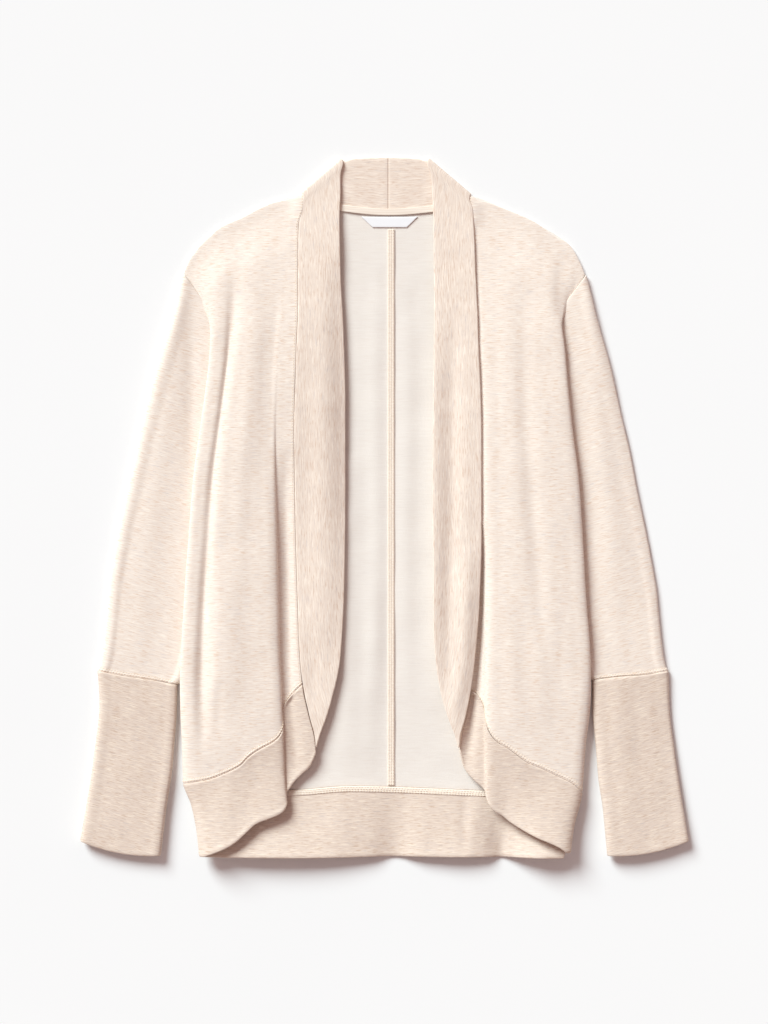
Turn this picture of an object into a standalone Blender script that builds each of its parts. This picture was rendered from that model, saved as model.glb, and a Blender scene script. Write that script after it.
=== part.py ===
"""Open-front cardigan laid flat, front up, built from the panels that are cut and sewn.

Units are metres in Blender and millimetres in the tables. The garment lies on z = 0 with its neck
towards +Y. Left and right are the wearer's own, so the left side lies at +X. Tables give places on
one side as distances outward from x = 0.
"""
import math
from collections import namedtuple

import bmesh
import bpy
from mathutils import Vector

MM = 0.001
SIDES = {"left": 1, "right": -1}

# Cloth: one layer in the body and sleeves, folded double in the collar, cuffs and hem bands.
CLOTH = 1.5
DOUBLE = 2.4
TRIM = 1.0
SEAM_GAP = 0.3
LEVEL_GAP = 0.3
# Each front and its hem band are drawn back from their seam by this much.
HEM_SEAM_GAP = 0.4

# Centre lines, which lie a little off x = 0 in the folded garment.
BACK_SEAM_X = 7.0
COLLAR_SEAM_X = 4.0

# The fold of each front over the sleeve: how far in from its edge the cloth starts to turn.
TURN_RUN = 14.0
TURN_BULGE = 1 / 6
TURN_LOW_SLOPE = 0.2
# The step from the low strip beside the collar up to the main part of the front.
STEP_BASE = 4.0
STEP_TOP = 5.0
STEP_LEAN = 0.7
MIN_STRIP = 1.0
# The front climbs from its shoulder seam, where it lies on the back, over this length.
SHOULDER_CLIMB = 45.0

# The sleeve lies as a flat tube under the side of the body.
SLEEVE_HEIGHT = 6.2
CUFF_HEIGHT = 7.8
BACK_RISE = SLEEVE_HEIGHT + 0.4
RISE_RUN = 12.0
RISE_MARGIN = 3.0
RISE_CLEAR_OF_EDGE = 10.0
RISE_CLEAR_OF_NECK = 3.0
# Below this level each front laps on the back, and above it the front's edge joins the sleeve.
ARMHOLE_TURN_Y = 160.0
CUFF_LIFT = 6.0

# Hem: where the lift of the hem starts, and how far down it is measured.
LIFT_START = -262.0
# Where the front's sewn edge climbs onto the thicker back hem band, and over what length.
HEM_OVERLAP_Y = -278.0
HEM_OVERLAP_RUN = 15.0
HEM_BOTTOM = -368.0

CREAM = (0.84, 0.76, 0.68, 1.0)
PALE_CREAM = (0.88, 0.82, 0.76, 1.0)
RIB_CREAM = (0.80, 0.70, 0.62, 1.0)
TAPE_CREAM = (0.82, 0.75, 0.64, 1.0)
LABEL_WHITE = (0.93, 0.92, 0.90, 1.0)


class Table:
    """Rows of named columns, read at any place along the first column on a smooth curve."""

    def __init__(self, columns, *rows):
        self.names = columns.split()
        self.rows = sorted(rows)

    def read(self, name, place):
        column = self.names.index(name)
        keys = [row[0] for row in self.rows]
        values = [row[column] for row in self.rows]
        if place <= keys[0]:
            return values[0]
        if place >= keys[-1]:
            return values[-1]
        after = next(i for i, key in enumerate(keys) if key > place)
        before = after - 1
        span = keys[after] - keys[before]
        t = (place - keys[before]) / span
        start = slope(keys, values, before) * span
        end = slope(keys, values, after) * span
        return (
            (2 * t**3 - 3 * t**2 + 1) * values[before]
            + (t**3 - 2 * t**2 + t) * start
            + (3 * t**2 - 2 * t**3) * values[after]
            + (t**3 - t**2) * end
        )


def slope(keys, values, i):
    """The curve's slope at row i: flat at a peak or an end, so that it never overshoots."""
    if i in (0, len(keys) - 1):
        j = max(i, 1)
        return (values[j] - values[j - 1]) / (keys[j] - keys[j - 1])
    low = (values[i] - values[i - 1]) / (keys[i] - keys[i - 1])
    high = (values[i + 1] - values[i]) / (keys[i + 1] - keys[i])
    if low * high <= 0:
        return 0.0
    return 2 * low * high / (low + high)


# Outlines of the body, one row for each level from the shoulder to the hem. Distances outward:
# the seam with the collar, the step beside it, the fold at the side, and the front's sewn edge.
BODY = {
    "left": Table(
        "y seam step fold edge",
        (330, 92, 95, 184, 215),
        (278, 95, 98, 183, 213),
        (245, 96, 99, 182, 211),
        (225, 97, 100, 183, 198),
        (203, 98, 101, 184, 187),
        (171, 99, 102, 189, 180),
        (124, 101, 103.5, 193, 178),
        (81, 102, 104.5, 197.5, 185),
        (30, 102, 105, 204, 195),
        (-28, 102, 105, 208, 199),
        (-97, 100, 105, 212, 202),
        (-150, 96, 105, 216, 206),
        (-192, 91, 105.5, 217, 207),
        (-218, 86, 106, 215.5, 207),
        (-245, 79.5, 106, 212, 205),
        (-299, 77, 107, 207, 204.5),
        (-335, 77, 110, 198, 196),
        (-368, 77, 111, 193, 191),
    ),
    "right": Table(
        "y seam step fold edge",
        (332, 88, 100, 184, 215),
        (278, 91, 104, 183, 213),
        (247, 91, 106, 182, 211),
        (222, 91, 108, 182, 194),
        (207, 91, 109, 182, 186),
        (171, 92.5, 111.5, 183, 178),
        (124, 94, 114, 188, 177),
        (81, 95, 115, 194, 183),
        (30, 94.5, 114.5, 201, 192),
        (-28, 93.5, 113.5, 205.5, 197),
        (-97, 91.5, 112, 210.5, 201),
        (-150, 89.5, 111, 213.5, 204),
        (-187, 86, 109, 215, 205),
        (-216, 80, 108, 214.5, 205),
        (-245, 73, 107, 213, 205),
        (-291, 70, 105, 211, 208),
        (-306, 70, 103.5, 204, 202),
        (-335, 70, 103, 197, 195),
        (-366, 70, 103, 193, 191),
    ),
}

# Heights of the middle of the front's cloth at each level: on the strip beside the collar, at the
# top of the step, half-way across and at the side fold.
HEIGHTS = Table(
    "y seam crest middle side",
    (332, 5.0, 5.0, 5.0, 5.0),
    (278, 7.0, 8.5, 9.0, 8.5),
    (225, 8.5, 11.5, 12.0, 12.0),
    (171, 9.0, 14.0, 15.0, 15.5),
    (30, 9.5, 16.5, 18.0, 17.5),
    (-150, 9.5, 17.0, 18.5, 17.0),
    (-245, 9.0, 15.5, 16.0, 15.5),
    (-300, 8.5, 13.5, 13.5, 13.5),
    (-368, 7.0, 12.0, 12.0, 12.0),
)

# The middle of the front's cloth at its sewn edge beside the armhole, before it laps on the back.
ARMHOLE_EDGE = Table("y height", (235, 4.5), (222, 5.45), (212, 6.0), (200, 7.6), (185, 8.6), (171, 9.1))

# The long soft trough down the right front, beside its side fold.
GROOVE = Table(
    "y across depth",
    (276, 152, 0.0),
    (198, 159, 2.0),
    (151, 166, 3.0),
    (81, 177, 4.0),
    (16, 184, 4.5),
    (-34, 188, 4.5),
    (-163, 190, 4.0),
    (-223, 192, 2.0),
    (-260, 193, 0.0),
)
GROOVE_WIDTH = 7.0

SHOULDER = {
    "left": Table(
        "across y", (92, 327.5), (120, 317), (155, 302), (180, 285), (192, 279), (200, 269), (206, 257),
        (211, 245),
    ),
    "right": Table(
        "across y", (88, 329.5), (107, 324), (129, 316), (150, 305), (172, 295), (184, 285), (197, 272),
        (206, 259), (211, 247),
    ),
}

# The seam of each front with its hem band, and the band's free edge: on the main part of the
# front, and on the strip beside the collar, where the step hides a short length of both.
HEM_SEAM = {
    "left": Table(
        "across y", (106, -231), (111, -242), (124, -249), (137, -258), (149, -267), (163, -273),
        (180, -281), (198, -290), (207, -299),
    ),
    "right": Table(
        "across y", (106, -243), (110, -244), (128, -252), (142, -261), (152, -271), (170, -280),
        (187, -286), (211, -290),
    ),
}
HEM_SEAM_STRIP = {
    "left": Table("across y", (91, -192), (100, -200), (104, -208)),
    "right": Table("across y", (87, -186), (104, -205), (106, -208)),
}
HEM_EDGE = {
    "left": Table(
        "across y", (108, -301), (114, -311), (122, -322), (135, -332), (156, -344), (183, -356),
        (191, -362),
    ),
    "right": Table(
        "across y", (103, -310), (112, -322), (135, -332), (145, -341), (159, -353), (173, -360),
        (189, -366),
    ),
}
HEM_EDGE_STRIP = {
    "left": Table("across y", (78, -252), (82, -271), (93, -285), (106, -297)),
    "right": Table("across y", (71, -257), (78, -272), (92, -285), (103, -300)),
}

# The back: its neckline, its hem seam, and the line under it where the tucked sleeve begins.
NECKLINE = Table("x y", (-88, 329.5), (-46, 317), (4, 312.5), (50, 316), (92, 327.5))
NECK_POINT = {"left": (92, 327.5), "right": (88, 329.5)}
BACK_HEM_SEAM = Table(
    "x y", (-211, -291), (-97, -297), (-36, -293), (11, -294), (107, -298), (207, -300)
)
BACK_HEM_EDGE = Table("x y", (-191, -367), (-80, -368), (0, -367), (190, -368))
BACK_HEM_SIDE = Table(
    "y left right", (-368, 188, 191), (-335, 196, 196), (-299, 204.5, 206), (-290, 205, 208)
)
SLEEVE_UNDER = {
    "left": Table(
        "y across", (250, 240), (228, 216), (203, 196), (186, 187), (171, 178), (145, 170), (113, 156),
        (29, 126), (-28, 150), (-97, 179), (-183, 216), (-250, 228),
    ),
    "right": Table(
        "y across", (250, 240), (228, 214), (203, 195), (186, 187), (171, 178), (145, 170), (113, 156),
        (29, 126), (-28, 149), (-97, 178), (-187, 215), (-250, 226),
    ),
}

# How far the hem stands off the floor at its lower edge, across the garment from right to left.
HEM_LIFT = Table(
    "x lift",
    (-200, 7), (-165, 13), (-120, 15), (-70, 13), (-20, 8), (11, 0), (37, 8), (75, 11), (104, 8),
    (123, 0), (140, 9), (165, 18), (195, 12),
)

# The last stop along each of the sleeve's and cuff's edges in the tables below, and the share of
# the sleeve over which its rings take the curve of the armhole and of the cuff seam.
OUTER_STOPS = 20
ARMHOLE_STOPS = 9
CUFF_SEAM_STOPS = 3
CUFF_STOPS = 5
ARMHOLE_REACH = 0.31
CUFF_SEAM_REACH = 0.2

# Sleeves: outer edge from the shoulder to the cuff seam, and the armhole seam to the hidden
# underarm fold. Cuffs: outer and inner edges from the seam to the open end.
SLEEVE_OUTER = {
    "left": Table(
        "along across y", (0, 211.5, 244), (1, 217, 228), (3, 227, 186), (5, 239, 144), (7, 248, 102),
        (9, 258, 60), (11, 266, 18), (13, 275, -24), (15, 283, -66), (17, 290, -108), (19, 296, -150),
        (20, 299, -172),
    ),
    "right": Table(
        "along across y", (0, 211.5, 246), (1, 215, 230), (3, 225, 190), (5, 236, 160), (7, 246, 123),
        (9, 256, 81), (11, 265, 39), (13, 275, -3), (15, 284, -50), (17, 292, -95), (19, 299, -140),
        (20, 303, -172),
    ),
}
ARMHOLE = {
    "left": Table(
        "along across y", (0, 211.5, 244), (1, 204, 234), (2, 196, 221), (3, 189, 206), (4, 183, 188),
        (5, 180.5, 171), (6, 172, 143), (7, 158, 113), (9, 127, 29),
    ),
    "right": Table(
        "along across y", (0, 211.5, 246), (1, 203, 235), (2, 195, 221), (3, 187, 206), (4, 182, 188),
        (5, 179, 171), (6, 171, 143), (7, 157, 113), (9, 127, 29),
    ),
}
CUFF_SEAM = {
    "left": Table("along across y", (0, 218, -181), (1, 232, -178), (2, 258, -176), (3, 299, -172)),
    "right": Table("along across y", (0, 217, -186), (1, 235, -181), (2, 257, -177), (3, 303, -172)),
}
CUFF_INNER = {
    "left": Table(
        "along across y", (0, 218.5, -182), (1, 219, -219), (2, 222, -250), (3, 225, -287),
        (4, 229, -313), (5, 234, -366),
    ),
    "right": Table(
        "along across y", (0, 217.5, -187), (1, 218.5, -219), (2, 221, -250), (3, 223, -275),
        (4, 229, -315), (5, 235, -366),
    ),
}
CUFF_OUTER = {
    "left": Table("along across y", (0, 299, -173), (1, 300, -208), (3, 306, -261), (5, 320, -351)),
    "right": Table("along across y", (0, 302, -173), (1, 300, -203), (3, 307, -271), (5, 320, -351)),
}
CUFF_END_BOW = 5.0

# The collar's free edge, from the shoulder fold down to the point, and its height.
COLLAR_FREE = {
    "left": Table(
        "y across", (368, 47), (333, 50), (311, 51), (218, 52), (113, 51), (8, 50), (-55, 51),
        (-124, 51), (-177, 56), (-206, 62), (-246, 75),
    ),
    "right": Table(
        "y across", (368, 46), (332, 46), (309, 47), (246, 46), (186, 43), (113, 41), (8, 41),
        (-77, 42), (-156, 46), (-208, 57), (-246, 68),
    ),
}
COLLAR_HEIGHTS = Table(
    "y free", (332, 6.5), (300, 7.5), (230, 9.5), (113, 12.0), (-80, 12.5), (-177, 11.0), (-246, 9.5)
)
COLLAR_TOP_Y = 368.0
COLLAR_TURNED_Y = 236.0
COLLAR_FOLD_RADIUS = 1.7
COLLAR_OVER_NECK = 2.5
COLLAR_BOW = 0.5
COLLAR_BOTTOM = -246.0
COLLAR_CLIMB = 60.0
COLLAR_POINT_WIDTH = 2.0
# Where the seam starts to curve towards the point, and the collar stands further off it.
COLLAR_CURVE_Y = -170.0
COLLAR_CURVE_RUN = 40.0


def smooth_step(t):
    t = min(max(t, 0.0), 1.0)
    return t * t * (3 - 2 * t)


def mix(a, b, t):
    return a + (b - a) * t


def bezier(points, t):
    """The point at t on the cubic curve with these four (across, height) points."""
    weights = ((1 - t) ** 3, 3 * t * (1 - t) ** 2, 3 * t * t * (1 - t), t**3)
    return tuple(sum(w * point[i] for w, point in zip(weights, points)) for i in range(2))


def hem_lift(x, y):
    """How far the hem waves lift the body's cloth off the floor."""
    reach = (LIFT_START - y) / (LIFT_START - HEM_BOTTOM)
    return HEM_LIFT.read("lift", x) * max(reach, 0.0) ** 2


def back_height(side, across, y):
    """The middle of the back's cloth: on the floor, and up over the tucked sleeve."""
    start = SLEEVE_UNDER[side].read("across", y) - RISE_MARGIN - RISE_RUN
    return CLOTH / 2 + BACK_RISE * smooth_step((across - start) / RISE_RUN)


def edge_height(side, y):
    """The middle of the front's cloth at its sewn edge, from the armhole to the hem."""
    lapped = back_height(side, BODY[side].read("edge", y), y) + CLOTH + LEVEL_GAP
    on_hem_band = (DOUBLE - CLOTH) * smooth_step((HEM_OVERLAP_Y - y) / HEM_OVERLAP_RUN)
    if y < ARMHOLE_TURN_Y:
        return lapped + on_hem_band
    return max(ARMHOLE_EDGE.read("height", y), lapped)


Section = namedtuple("Section", "points strip_end crest")


def front_section(side, y, strip_columns, step_columns, main_columns, turn_columns):
    """(across, height) points over one front at one level, from the collar seam to the side."""
    body = BODY[side]
    seam, step, fold, edge = (body.read(name, y) for name in ("seam", "step", "fold", "edge"))
    low, crest, middle, top = (HEIGHTS.read(name, y) for name in ("seam", "crest", "middle", "side"))
    fold -= CLOTH / 2
    step_start = max(step - STEP_BASE, seam + MIN_STRIP)
    step_end = step + STEP_TOP
    turn_start = fold - TURN_RUN
    points = [
        (mix(seam + SEAM_GAP / 2, step_start, i / strip_columns), low) for i in range(strip_columns)
    ]
    step_curve = ((step_start, low), (step + STEP_LEAN, low), (step - STEP_LEAN, crest), (step_end, crest))
    points += [bezier(step_curve, i / step_columns) for i in range(step_columns)]
    for i in range(main_columns):
        t = i / main_columns
        across = mix(step_end, turn_start, t)
        height = mix(crest, top, t) + 4 * t * (1 - t) * (middle - (crest + top) / 2)
        if side == "right":
            from_groove = (across - GROOVE.read("across", y)) / GROOVE_WIDTH
            height -= GROOVE.read("depth", y) * math.exp(-from_groove**2)
        points.append((across, height))
    low_edge = edge_height(side, y)
    tucked = max(fold - edge, 0.0)
    bulge = fold + (TURN_RUN + tucked) * TURN_BULGE
    low_bulge = max(bulge, mix(bulge, edge, 0.5))
    turn_low = mix(low_edge, top, TURN_LOW_SLOPE)
    turn_curve = ((turn_start, top), (bulge, top), (low_bulge, turn_low), (edge, low_edge))
    points += [bezier(turn_curve, i / turn_columns) for i in range(turn_columns + 1)]
    return Section(points, strip_columns, strip_columns + step_columns)


# How finely the panels are divided: columns over the strip, the step, the main part and the turn
# of a front, and rows down each panel.
FRONT_COLUMNS = (3, 5, 8, 6)
FRONT_ROWS = 29
FRONT_HEM_ROWS = 4
BACK_ROWS = 28
NECK_COLUMNS = 5
BACK_HEM_ROWS = 4
BACK_HEM_COLUMNS = 30
COLLAR_COLUMNS = 5
COLLAR_TURN_LINES = 4
COLLAR_DOWN_LINES = 27
SLEEVE_RINGS = 16
CUFF_RINGS = 6
# Passes that find where a column, which slants, meets an edge of its panel.
PASSES = 8
# Levels near the upper and lower ends of the columns, where those passes start.
NEAR_SHOULDER = 290.0
NEAR_HEM_SEAM = -250.0
NEAR_HEM_EDGE = -330.0
NEAR_BACK_HEM = -295.0


def level_on(side, column, curve, start):
    """The level at which one column of a front meets a curve of level over distance outward."""
    y = start
    for _ in range(PASSES):
        across = front_section(side, y, *FRONT_COLUMNS).points[column][0]
        y = curve.read("y", across)
    return y


def column_ends(side, strip_curve, main_curve, start):
    """Each column's level where it meets a line across the strip, the step and the main part."""
    section = front_section(side, start, *FRONT_COLUMNS)
    strip_end, crest, count = section.strip_end, section.crest, len(section.points)
    levels = []
    for column in range(count):
        curve = strip_curve if column <= strip_end else main_curve
        levels.append(level_on(side, column, curve, start))
    for column in range(strip_end, crest):
        t = (column - strip_end) / (crest - strip_end)
        levels[column] = mix(levels[strip_end], levels[crest], t)
    return levels


def draw_in(line, inner, distance):
    """Moves an end line of a panel into the panel, square to the line, to part it from a seam."""
    moved = []
    for i, point in enumerate(line):
        along = Vector(line[min(i + 1, len(line) - 1)]) - Vector(line[max(i - 1, 0)])
        along.normalize()
        inward = Vector(inner[i]) - Vector(point)
        inward -= inward.dot(along) * along
        moved.append(tuple(Vector(point) + distance * inward.normalized()))
    return moved


def front_grid(side):
    """The front's middle surface: rows from the shoulder down to the hem seam."""
    tops = column_ends(side, SHOULDER[side], SHOULDER[side], NEAR_SHOULDER)
    ends = column_ends(side, HEM_SEAM_STRIP[side], HEM_SEAM[side], NEAR_HEM_SEAM)
    on_back = CLOTH * 1.5 + LEVEL_GAP
    grid = []
    for row in range(FRONT_ROWS + 1):
        t = row / FRONT_ROWS
        line = []
        for column, (top, end) in enumerate(zip(tops, ends)):
            y = mix(top, end, t)
            across, height = front_section(side, y, *FRONT_COLUMNS).points[column]
            height = mix(on_back, height, smooth_step((top - y) / SHOULDER_CLIMB))
            x = SIDES[side] * across
            line.append((x, y, height + hem_lift(x, y)))
        grid.append(line)
    grid[-1] = draw_in(grid[-1], grid[-2], HEM_SEAM_GAP)
    return grid


def front_hem_grid(side):
    """The hem band under one front: rows from its seam down to its free edge."""
    starts = column_ends(side, HEM_SEAM_STRIP[side], HEM_SEAM[side], NEAR_HEM_SEAM)
    ends = column_ends(side, HEM_EDGE_STRIP[side], HEM_EDGE[side], NEAR_HEM_EDGE)
    grid = []
    for row in range(FRONT_HEM_ROWS + 1):
        t = row / FRONT_HEM_ROWS
        line = []
        for column, (start, end) in enumerate(zip(starts, ends)):
            y = mix(start, end, t)
            across, height = front_section(side, y, *FRONT_COLUMNS).points[column]
            height = max(height + (DOUBLE - CLOTH) / 2, DOUBLE * 1.5 + LEVEL_GAP)
            x = SIDES[side] * across
            line.append((x, y, height + hem_lift(x, y)))
        grid.append(line)
    grid[0] = draw_in(grid[0], grid[1], HEM_SEAM_GAP)
    return grid


def back_top(side, x):
    """The level of the back's top edge: the neckline, then the shoulder."""
    across = x * SIDES[side]
    if across < NECK_POINT[side][0]:
        return NECKLINE.read("y", x) - SEAM_GAP
    return SHOULDER[side].read("y", across)


def back_columns(side, y):
    """Distances outward of the back's columns at one level, close together over the rise."""
    seam = BACK_SEAM_X * SIDES[side] + SEAM_GAP / 2
    neck = NECK_POINT[side][0]
    edge = BODY[side].read("edge", y)
    under = SLEEVE_UNDER[side].read("across", y) - RISE_MARGIN
    rise_end = min(under, edge - RISE_CLEAR_OF_EDGE)
    rise_start = max(rise_end - RISE_RUN, neck + RISE_CLEAR_OF_NECK)
    stops = ((seam, NECK_COLUMNS), (neck, 3), (rise_start, 4), (rise_end, 4), (edge, 0))
    places = []
    for (start, count), (end, _) in zip(stops, stops[1:]):
        places += [mix(start, end, i / count) for i in range(count)]
    return places + [edge]


def back_grid(side):
    """The back half's middle surface, flat on the floor but for the sleeve and the hem."""
    sign = SIDES[side]
    near_hem = back_columns(side, NEAR_BACK_HEM)
    tops = []
    for column in range(len(near_hem)):
        y = NEAR_SHOULDER
        for _ in range(PASSES):
            y = back_top(side, sign * back_columns(side, y)[column])
        tops.append(y)
    ends = [BACK_HEM_SEAM.read("y", sign * across) + SEAM_GAP / 2 for across in near_hem]
    grid = []
    for row in range(BACK_ROWS + 1):
        t = row / BACK_ROWS
        line = []
        for column, (top, end) in enumerate(zip(tops, ends)):
            y = mix(top, end, t)
            across = back_columns(side, y)[column]
            x = sign * across
            line.append((x, y, back_height(side, across, y) + hem_lift(x, y)))
        grid.append(line)
    return grid


def back_hem_grid():
    """The back hem band, from side to side."""
    grid = []
    for row in range(BACK_HEM_ROWS + 1):
        t = row / BACK_HEM_ROWS
        line = []
        for column in range(BACK_HEM_COLUMNS + 1):
            s = column / BACK_HEM_COLUMNS
            y = mix(NEAR_BACK_HEM, HEM_BOTTOM, t)
            x = mix(-BACK_HEM_SIDE.read("right", y), BACK_HEM_SIDE.read("left", y), s)
            y = mix(BACK_HEM_SEAM.read("y", x) - SEAM_GAP / 2, BACK_HEM_EDGE.read("y", x), t)
            line.append((x, y, DOUBLE / 2 + hem_lift(x, y)))
        grid.append(line)
    return grid


def collar_lines(side):
    """Lines across the collar from its seam to its free edge, from the centre back to the point.

    Each is a pair of (x, y, height) points. The band lies flat behind the neck, turns over at
    the shoulder fold and runs down the front.
    """
    sign = SIDES[side]
    thick = DOUBLE / 2
    neck_x, neck_y = NECK_POINT[side]
    neck_y += COLLAR_OVER_NECK
    corner_x = COLLAR_FREE[side].read("across", COLLAR_TOP_Y)
    run_x, run_y = neck_x - corner_x, neck_y - COLLAR_TOP_Y
    length = math.hypot(run_x, run_y)
    out_x, out_y = -run_y / length, run_x / length
    seam_x = neck_x - SEAM_GAP
    centre = COLLAR_SEAM_X * sign + SEAM_GAP / 2
    radius = COLLAR_FOLD_RADIUS
    lines = []

    places = back_columns(side, neck_y)[:NECK_COLUMNS]
    for i, seam_across in enumerate(places):
        t = i / NECK_COLUMNS
        if i == 0:
            seam_across = centre
        free_across = mix(centre, corner_x - out_x * (radius + thick), t)
        seam_y = NECKLINE.read("y", seam_across * sign) + SEAM_GAP
        free_y = COLLAR_TOP_Y + COLLAR_BOW * (1 - t)
        free_y = mix(free_y, COLLAR_TOP_Y - out_y * (radius + thick), t**3)
        lines.append(((seam_across, seam_y, thick), (free_across, free_y, thick)))

    for i in range(COLLAR_TURN_LINES + 1):
        angle = math.pi * i / COLLAR_TURN_LINES
        out = radius * math.sin(angle) - radius - thick
        height = thick + radius * (1 - math.cos(angle))
        ends = []
        for across, y in ((seam_x, neck_y), (corner_x, COLLAR_TOP_Y)):
            ends.append((across + out_x * out, y + out_y * out, height))
        lines.append(tuple(ends))

    fold_height = thick + 2 * radius
    body = BODY[side]
    for i in range(1, COLLAR_DOWN_LINES + 1):
        level = mix(neck_y, COLLAR_BOTTOM, i / COLLAR_DOWN_LINES)
        turned = smooth_step((neck_y - level) / (neck_y - COLLAR_TURNED_Y))
        free_y = level + (COLLAR_TOP_Y - neck_y) * (1 - turned)
        risen = smooth_step((neck_y - level) / COLLAR_CLIMB)
        seam_height = mix(fold_height, HEIGHTS.read("seam", level), risen)
        free_height = mix(fold_height, COLLAR_HEIGHTS.read("free", free_y), risen)
        curving = smooth_step((COLLAR_CURVE_Y - level) / COLLAR_CURVE_RUN)
        seam_across = body.read("seam", level) - SEAM_GAP * (1 + curving)
        free_across = min(COLLAR_FREE[side].read("across", free_y), seam_across - COLLAR_POINT_WIDTH)
        lines.append(((seam_across, level, seam_height), (free_across, free_y, free_height)))
    return lines


def collar_grid(side):
    """The collar half's middle surface."""
    grid = []
    for seam, free in collar_lines(side):
        line = []
        for column in range(COLLAR_COLUMNS + 1):
            t = column / COLLAR_COLUMNS
            across, y, height = (mix(a, b, t) for a, b in zip(seam, free))
            line.append((SIDES[side] * across, y, height))
        grid.append(line)
    return grid


# A tube's folded edges: how far in from the fold, and how far up, its first point lies, as shares
# of the fold's radius.
NEAR_FOLD = 0.3
NEAR_FOLD_RISE = 0.7


def flat_ring(start, end, bow, wall, height, lift):
    """A loop round a flattened tube from its inner edge to its outer edge.

    bow gives how far the line between them departs from straight at each fraction of its length.
    """
    radius = (height - wall) / 2
    width = math.dist(start, end)
    round_off = radius / width
    near = NEAR_FOLD * round_off
    stops = (near, round_off, 0.2, 0.5, 0.8, 1 - round_off, 1 - near)
    rises = (NEAR_FOLD_RISE, 1.0, 1.0, 1.0, 1.0, 1.0, NEAR_FOLD_RISE)
    upper = [(0.0, 0.0)] + list(zip(stops, rises)) + [(1.0, 0.0)]
    lower = [(t, -rise) for t, rise in zip(stops[::-1], rises[::-1])]
    middle = wall / 2 + radius + lift
    loop = []
    for t, rise in upper + lower:
        bow_x, bow_y = bow(t)
        x, y = mix(start[0], end[0], t) + bow_x, mix(start[1], end[1], t) + bow_y
        loop.append((x, y, middle + rise * radius))
    return loop


def pair(table, along):
    return table.read("across", along), table.read("y", along)


def sleeve_rings(side):
    """Rings from the armhole to the cuff seam."""
    outer, armhole, seam = SLEEVE_OUTER[side], ARMHOLE[side], CUFF_SEAM[side]
    underarm = pair(armhole, ARMHOLE_STOPS)
    cuff_inner = pair(seam, 0)
    wall = CLOTH / 2
    loops = []
    for i in range(SLEEVE_RINGS + 1):
        t = i / SLEEVE_RINGS
        start = [mix(a, b, t) for a, b in zip(underarm, cuff_inner)]
        start[0] += wall
        end = list(pair(outer, OUTER_STOPS * t))
        end[0] -= wall

        def bow(w, t=t, start=start, end=end):
            upper = pair(armhole, ARMHOLE_STOPS * (1 - w))
            lower = pair(seam, CUFF_SEAM_STOPS * w)
            result = []
            for axis in range(2):
                straight = mix(start[axis], end[axis], w)
                top_bow = (upper[axis] - straight) * max(1 - t / ARMHOLE_REACH, 0.0) ** 2
                end_bow = (lower[axis] - straight) * max(1 - (1 - t) / CUFF_SEAM_REACH, 0.0)
                result.append(top_bow + axis * end_bow)
            result[0] += SEAM_GAP * (1 - t)
            result[1] += SEAM_GAP / 2 * t
            return result

        loops.append(flat_ring(start, end, bow, CLOTH, SLEEVE_HEIGHT, 0.0))
    return [[(SIDES[side] * x, y, z) for x, y, z in loop] for loop in loops]


def cuff_rings(side):
    """Rings from the cuff seam to the open end, which stands off the floor."""
    inner, outer, seam = CUFF_INNER[side], CUFF_OUTER[side], CUFF_SEAM[side]
    wall = DOUBLE / 2
    loops = []
    for i in range(CUFF_RINGS + 1):
        t = i / CUFF_RINGS
        start = list(pair(inner, CUFF_STOPS * t))
        start[0] += wall
        end = list(pair(outer, CUFF_STOPS * t))
        end[0] -= wall

        def bow(w, t=t, start=start, end=end):
            seam_bow = seam.read("y", CUFF_SEAM_STOPS * w) - mix(pair(inner, 0)[1], pair(outer, 0)[1], w)
            end_bow = -CUFF_END_BOW * 4 * w * (1 - w)
            return 0.0, mix(seam_bow - 2 * SEAM_GAP, end_bow, t)

        loops.append(flat_ring(start, end, bow, DOUBLE, CUFF_HEIGHT, CUFF_LIFT * t * t))
    return [[(SIDES[side] * x, y, z) for x, y, z in loop] for loop in loops]


def strip_grid(path, width, height):
    """A flat strip of one width along a path of (x, y) points, at heights from a function."""
    grid = []
    for i, (x, y) in enumerate(path):
        before = path[max(i - 1, 0)]
        after = path[min(i + 1, len(path) - 1)]
        run_x, run_y = after[0] - before[0], after[1] - before[1]
        length = math.hypot(run_x, run_y)
        side_x, side_y = -run_y / length * width / 2, run_x / length * width / 2
        level = height(x, y)
        grid.append([(x - side_x, y - side_y, level), (x + side_x, y + side_y, level)])
    return grid


# The strip over the centre-back seam, the tape over the neck seam, and the label below it.
SEAM_TAPE_WIDTH = 7.2
SEAM_TAPE_TOP = 293.0
SEAM_TAPE_END = -292.5
NECK_TAPE_WIDTH = 7.0
NECK_TAPE_REACH = {"left": 60.0, "right": -56.0}
NECK_TAPE_DROP = 1.5
SEAM_TAPE_ROWS = 20
NECK_TAPE_COLUMNS = 16
LABEL_ROWS = 3
LABEL_COLUMNS = 4
# The label's upper and lower edges, each from x to x at one y.
LABEL_TOP = (-24.5, 35.0, 306.2)
LABEL_END = (-12.5, 23.5, 295.0)


def seam_tape_grid():
    path = []
    for i in range(SEAM_TAPE_ROWS + 1):
        path.append((BACK_SEAM_X, mix(SEAM_TAPE_TOP, SEAM_TAPE_END, i / SEAM_TAPE_ROWS)))
    on_back = CLOTH + LEVEL_GAP + TRIM / 2
    return strip_grid(path, SEAM_TAPE_WIDTH, lambda x, y: on_back + hem_lift(x, y))


def neck_tape_grid():
    path = []
    for i in range(NECK_TAPE_COLUMNS + 1):
        x = mix(NECK_TAPE_REACH["right"], NECK_TAPE_REACH["left"], i / NECK_TAPE_COLUMNS)
        path.append((x, NECKLINE.read("y", x) - NECK_TAPE_DROP))
    return strip_grid(path, NECK_TAPE_WIDTH, lambda x, y: DOUBLE + LEVEL_GAP + TRIM / 2)


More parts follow.
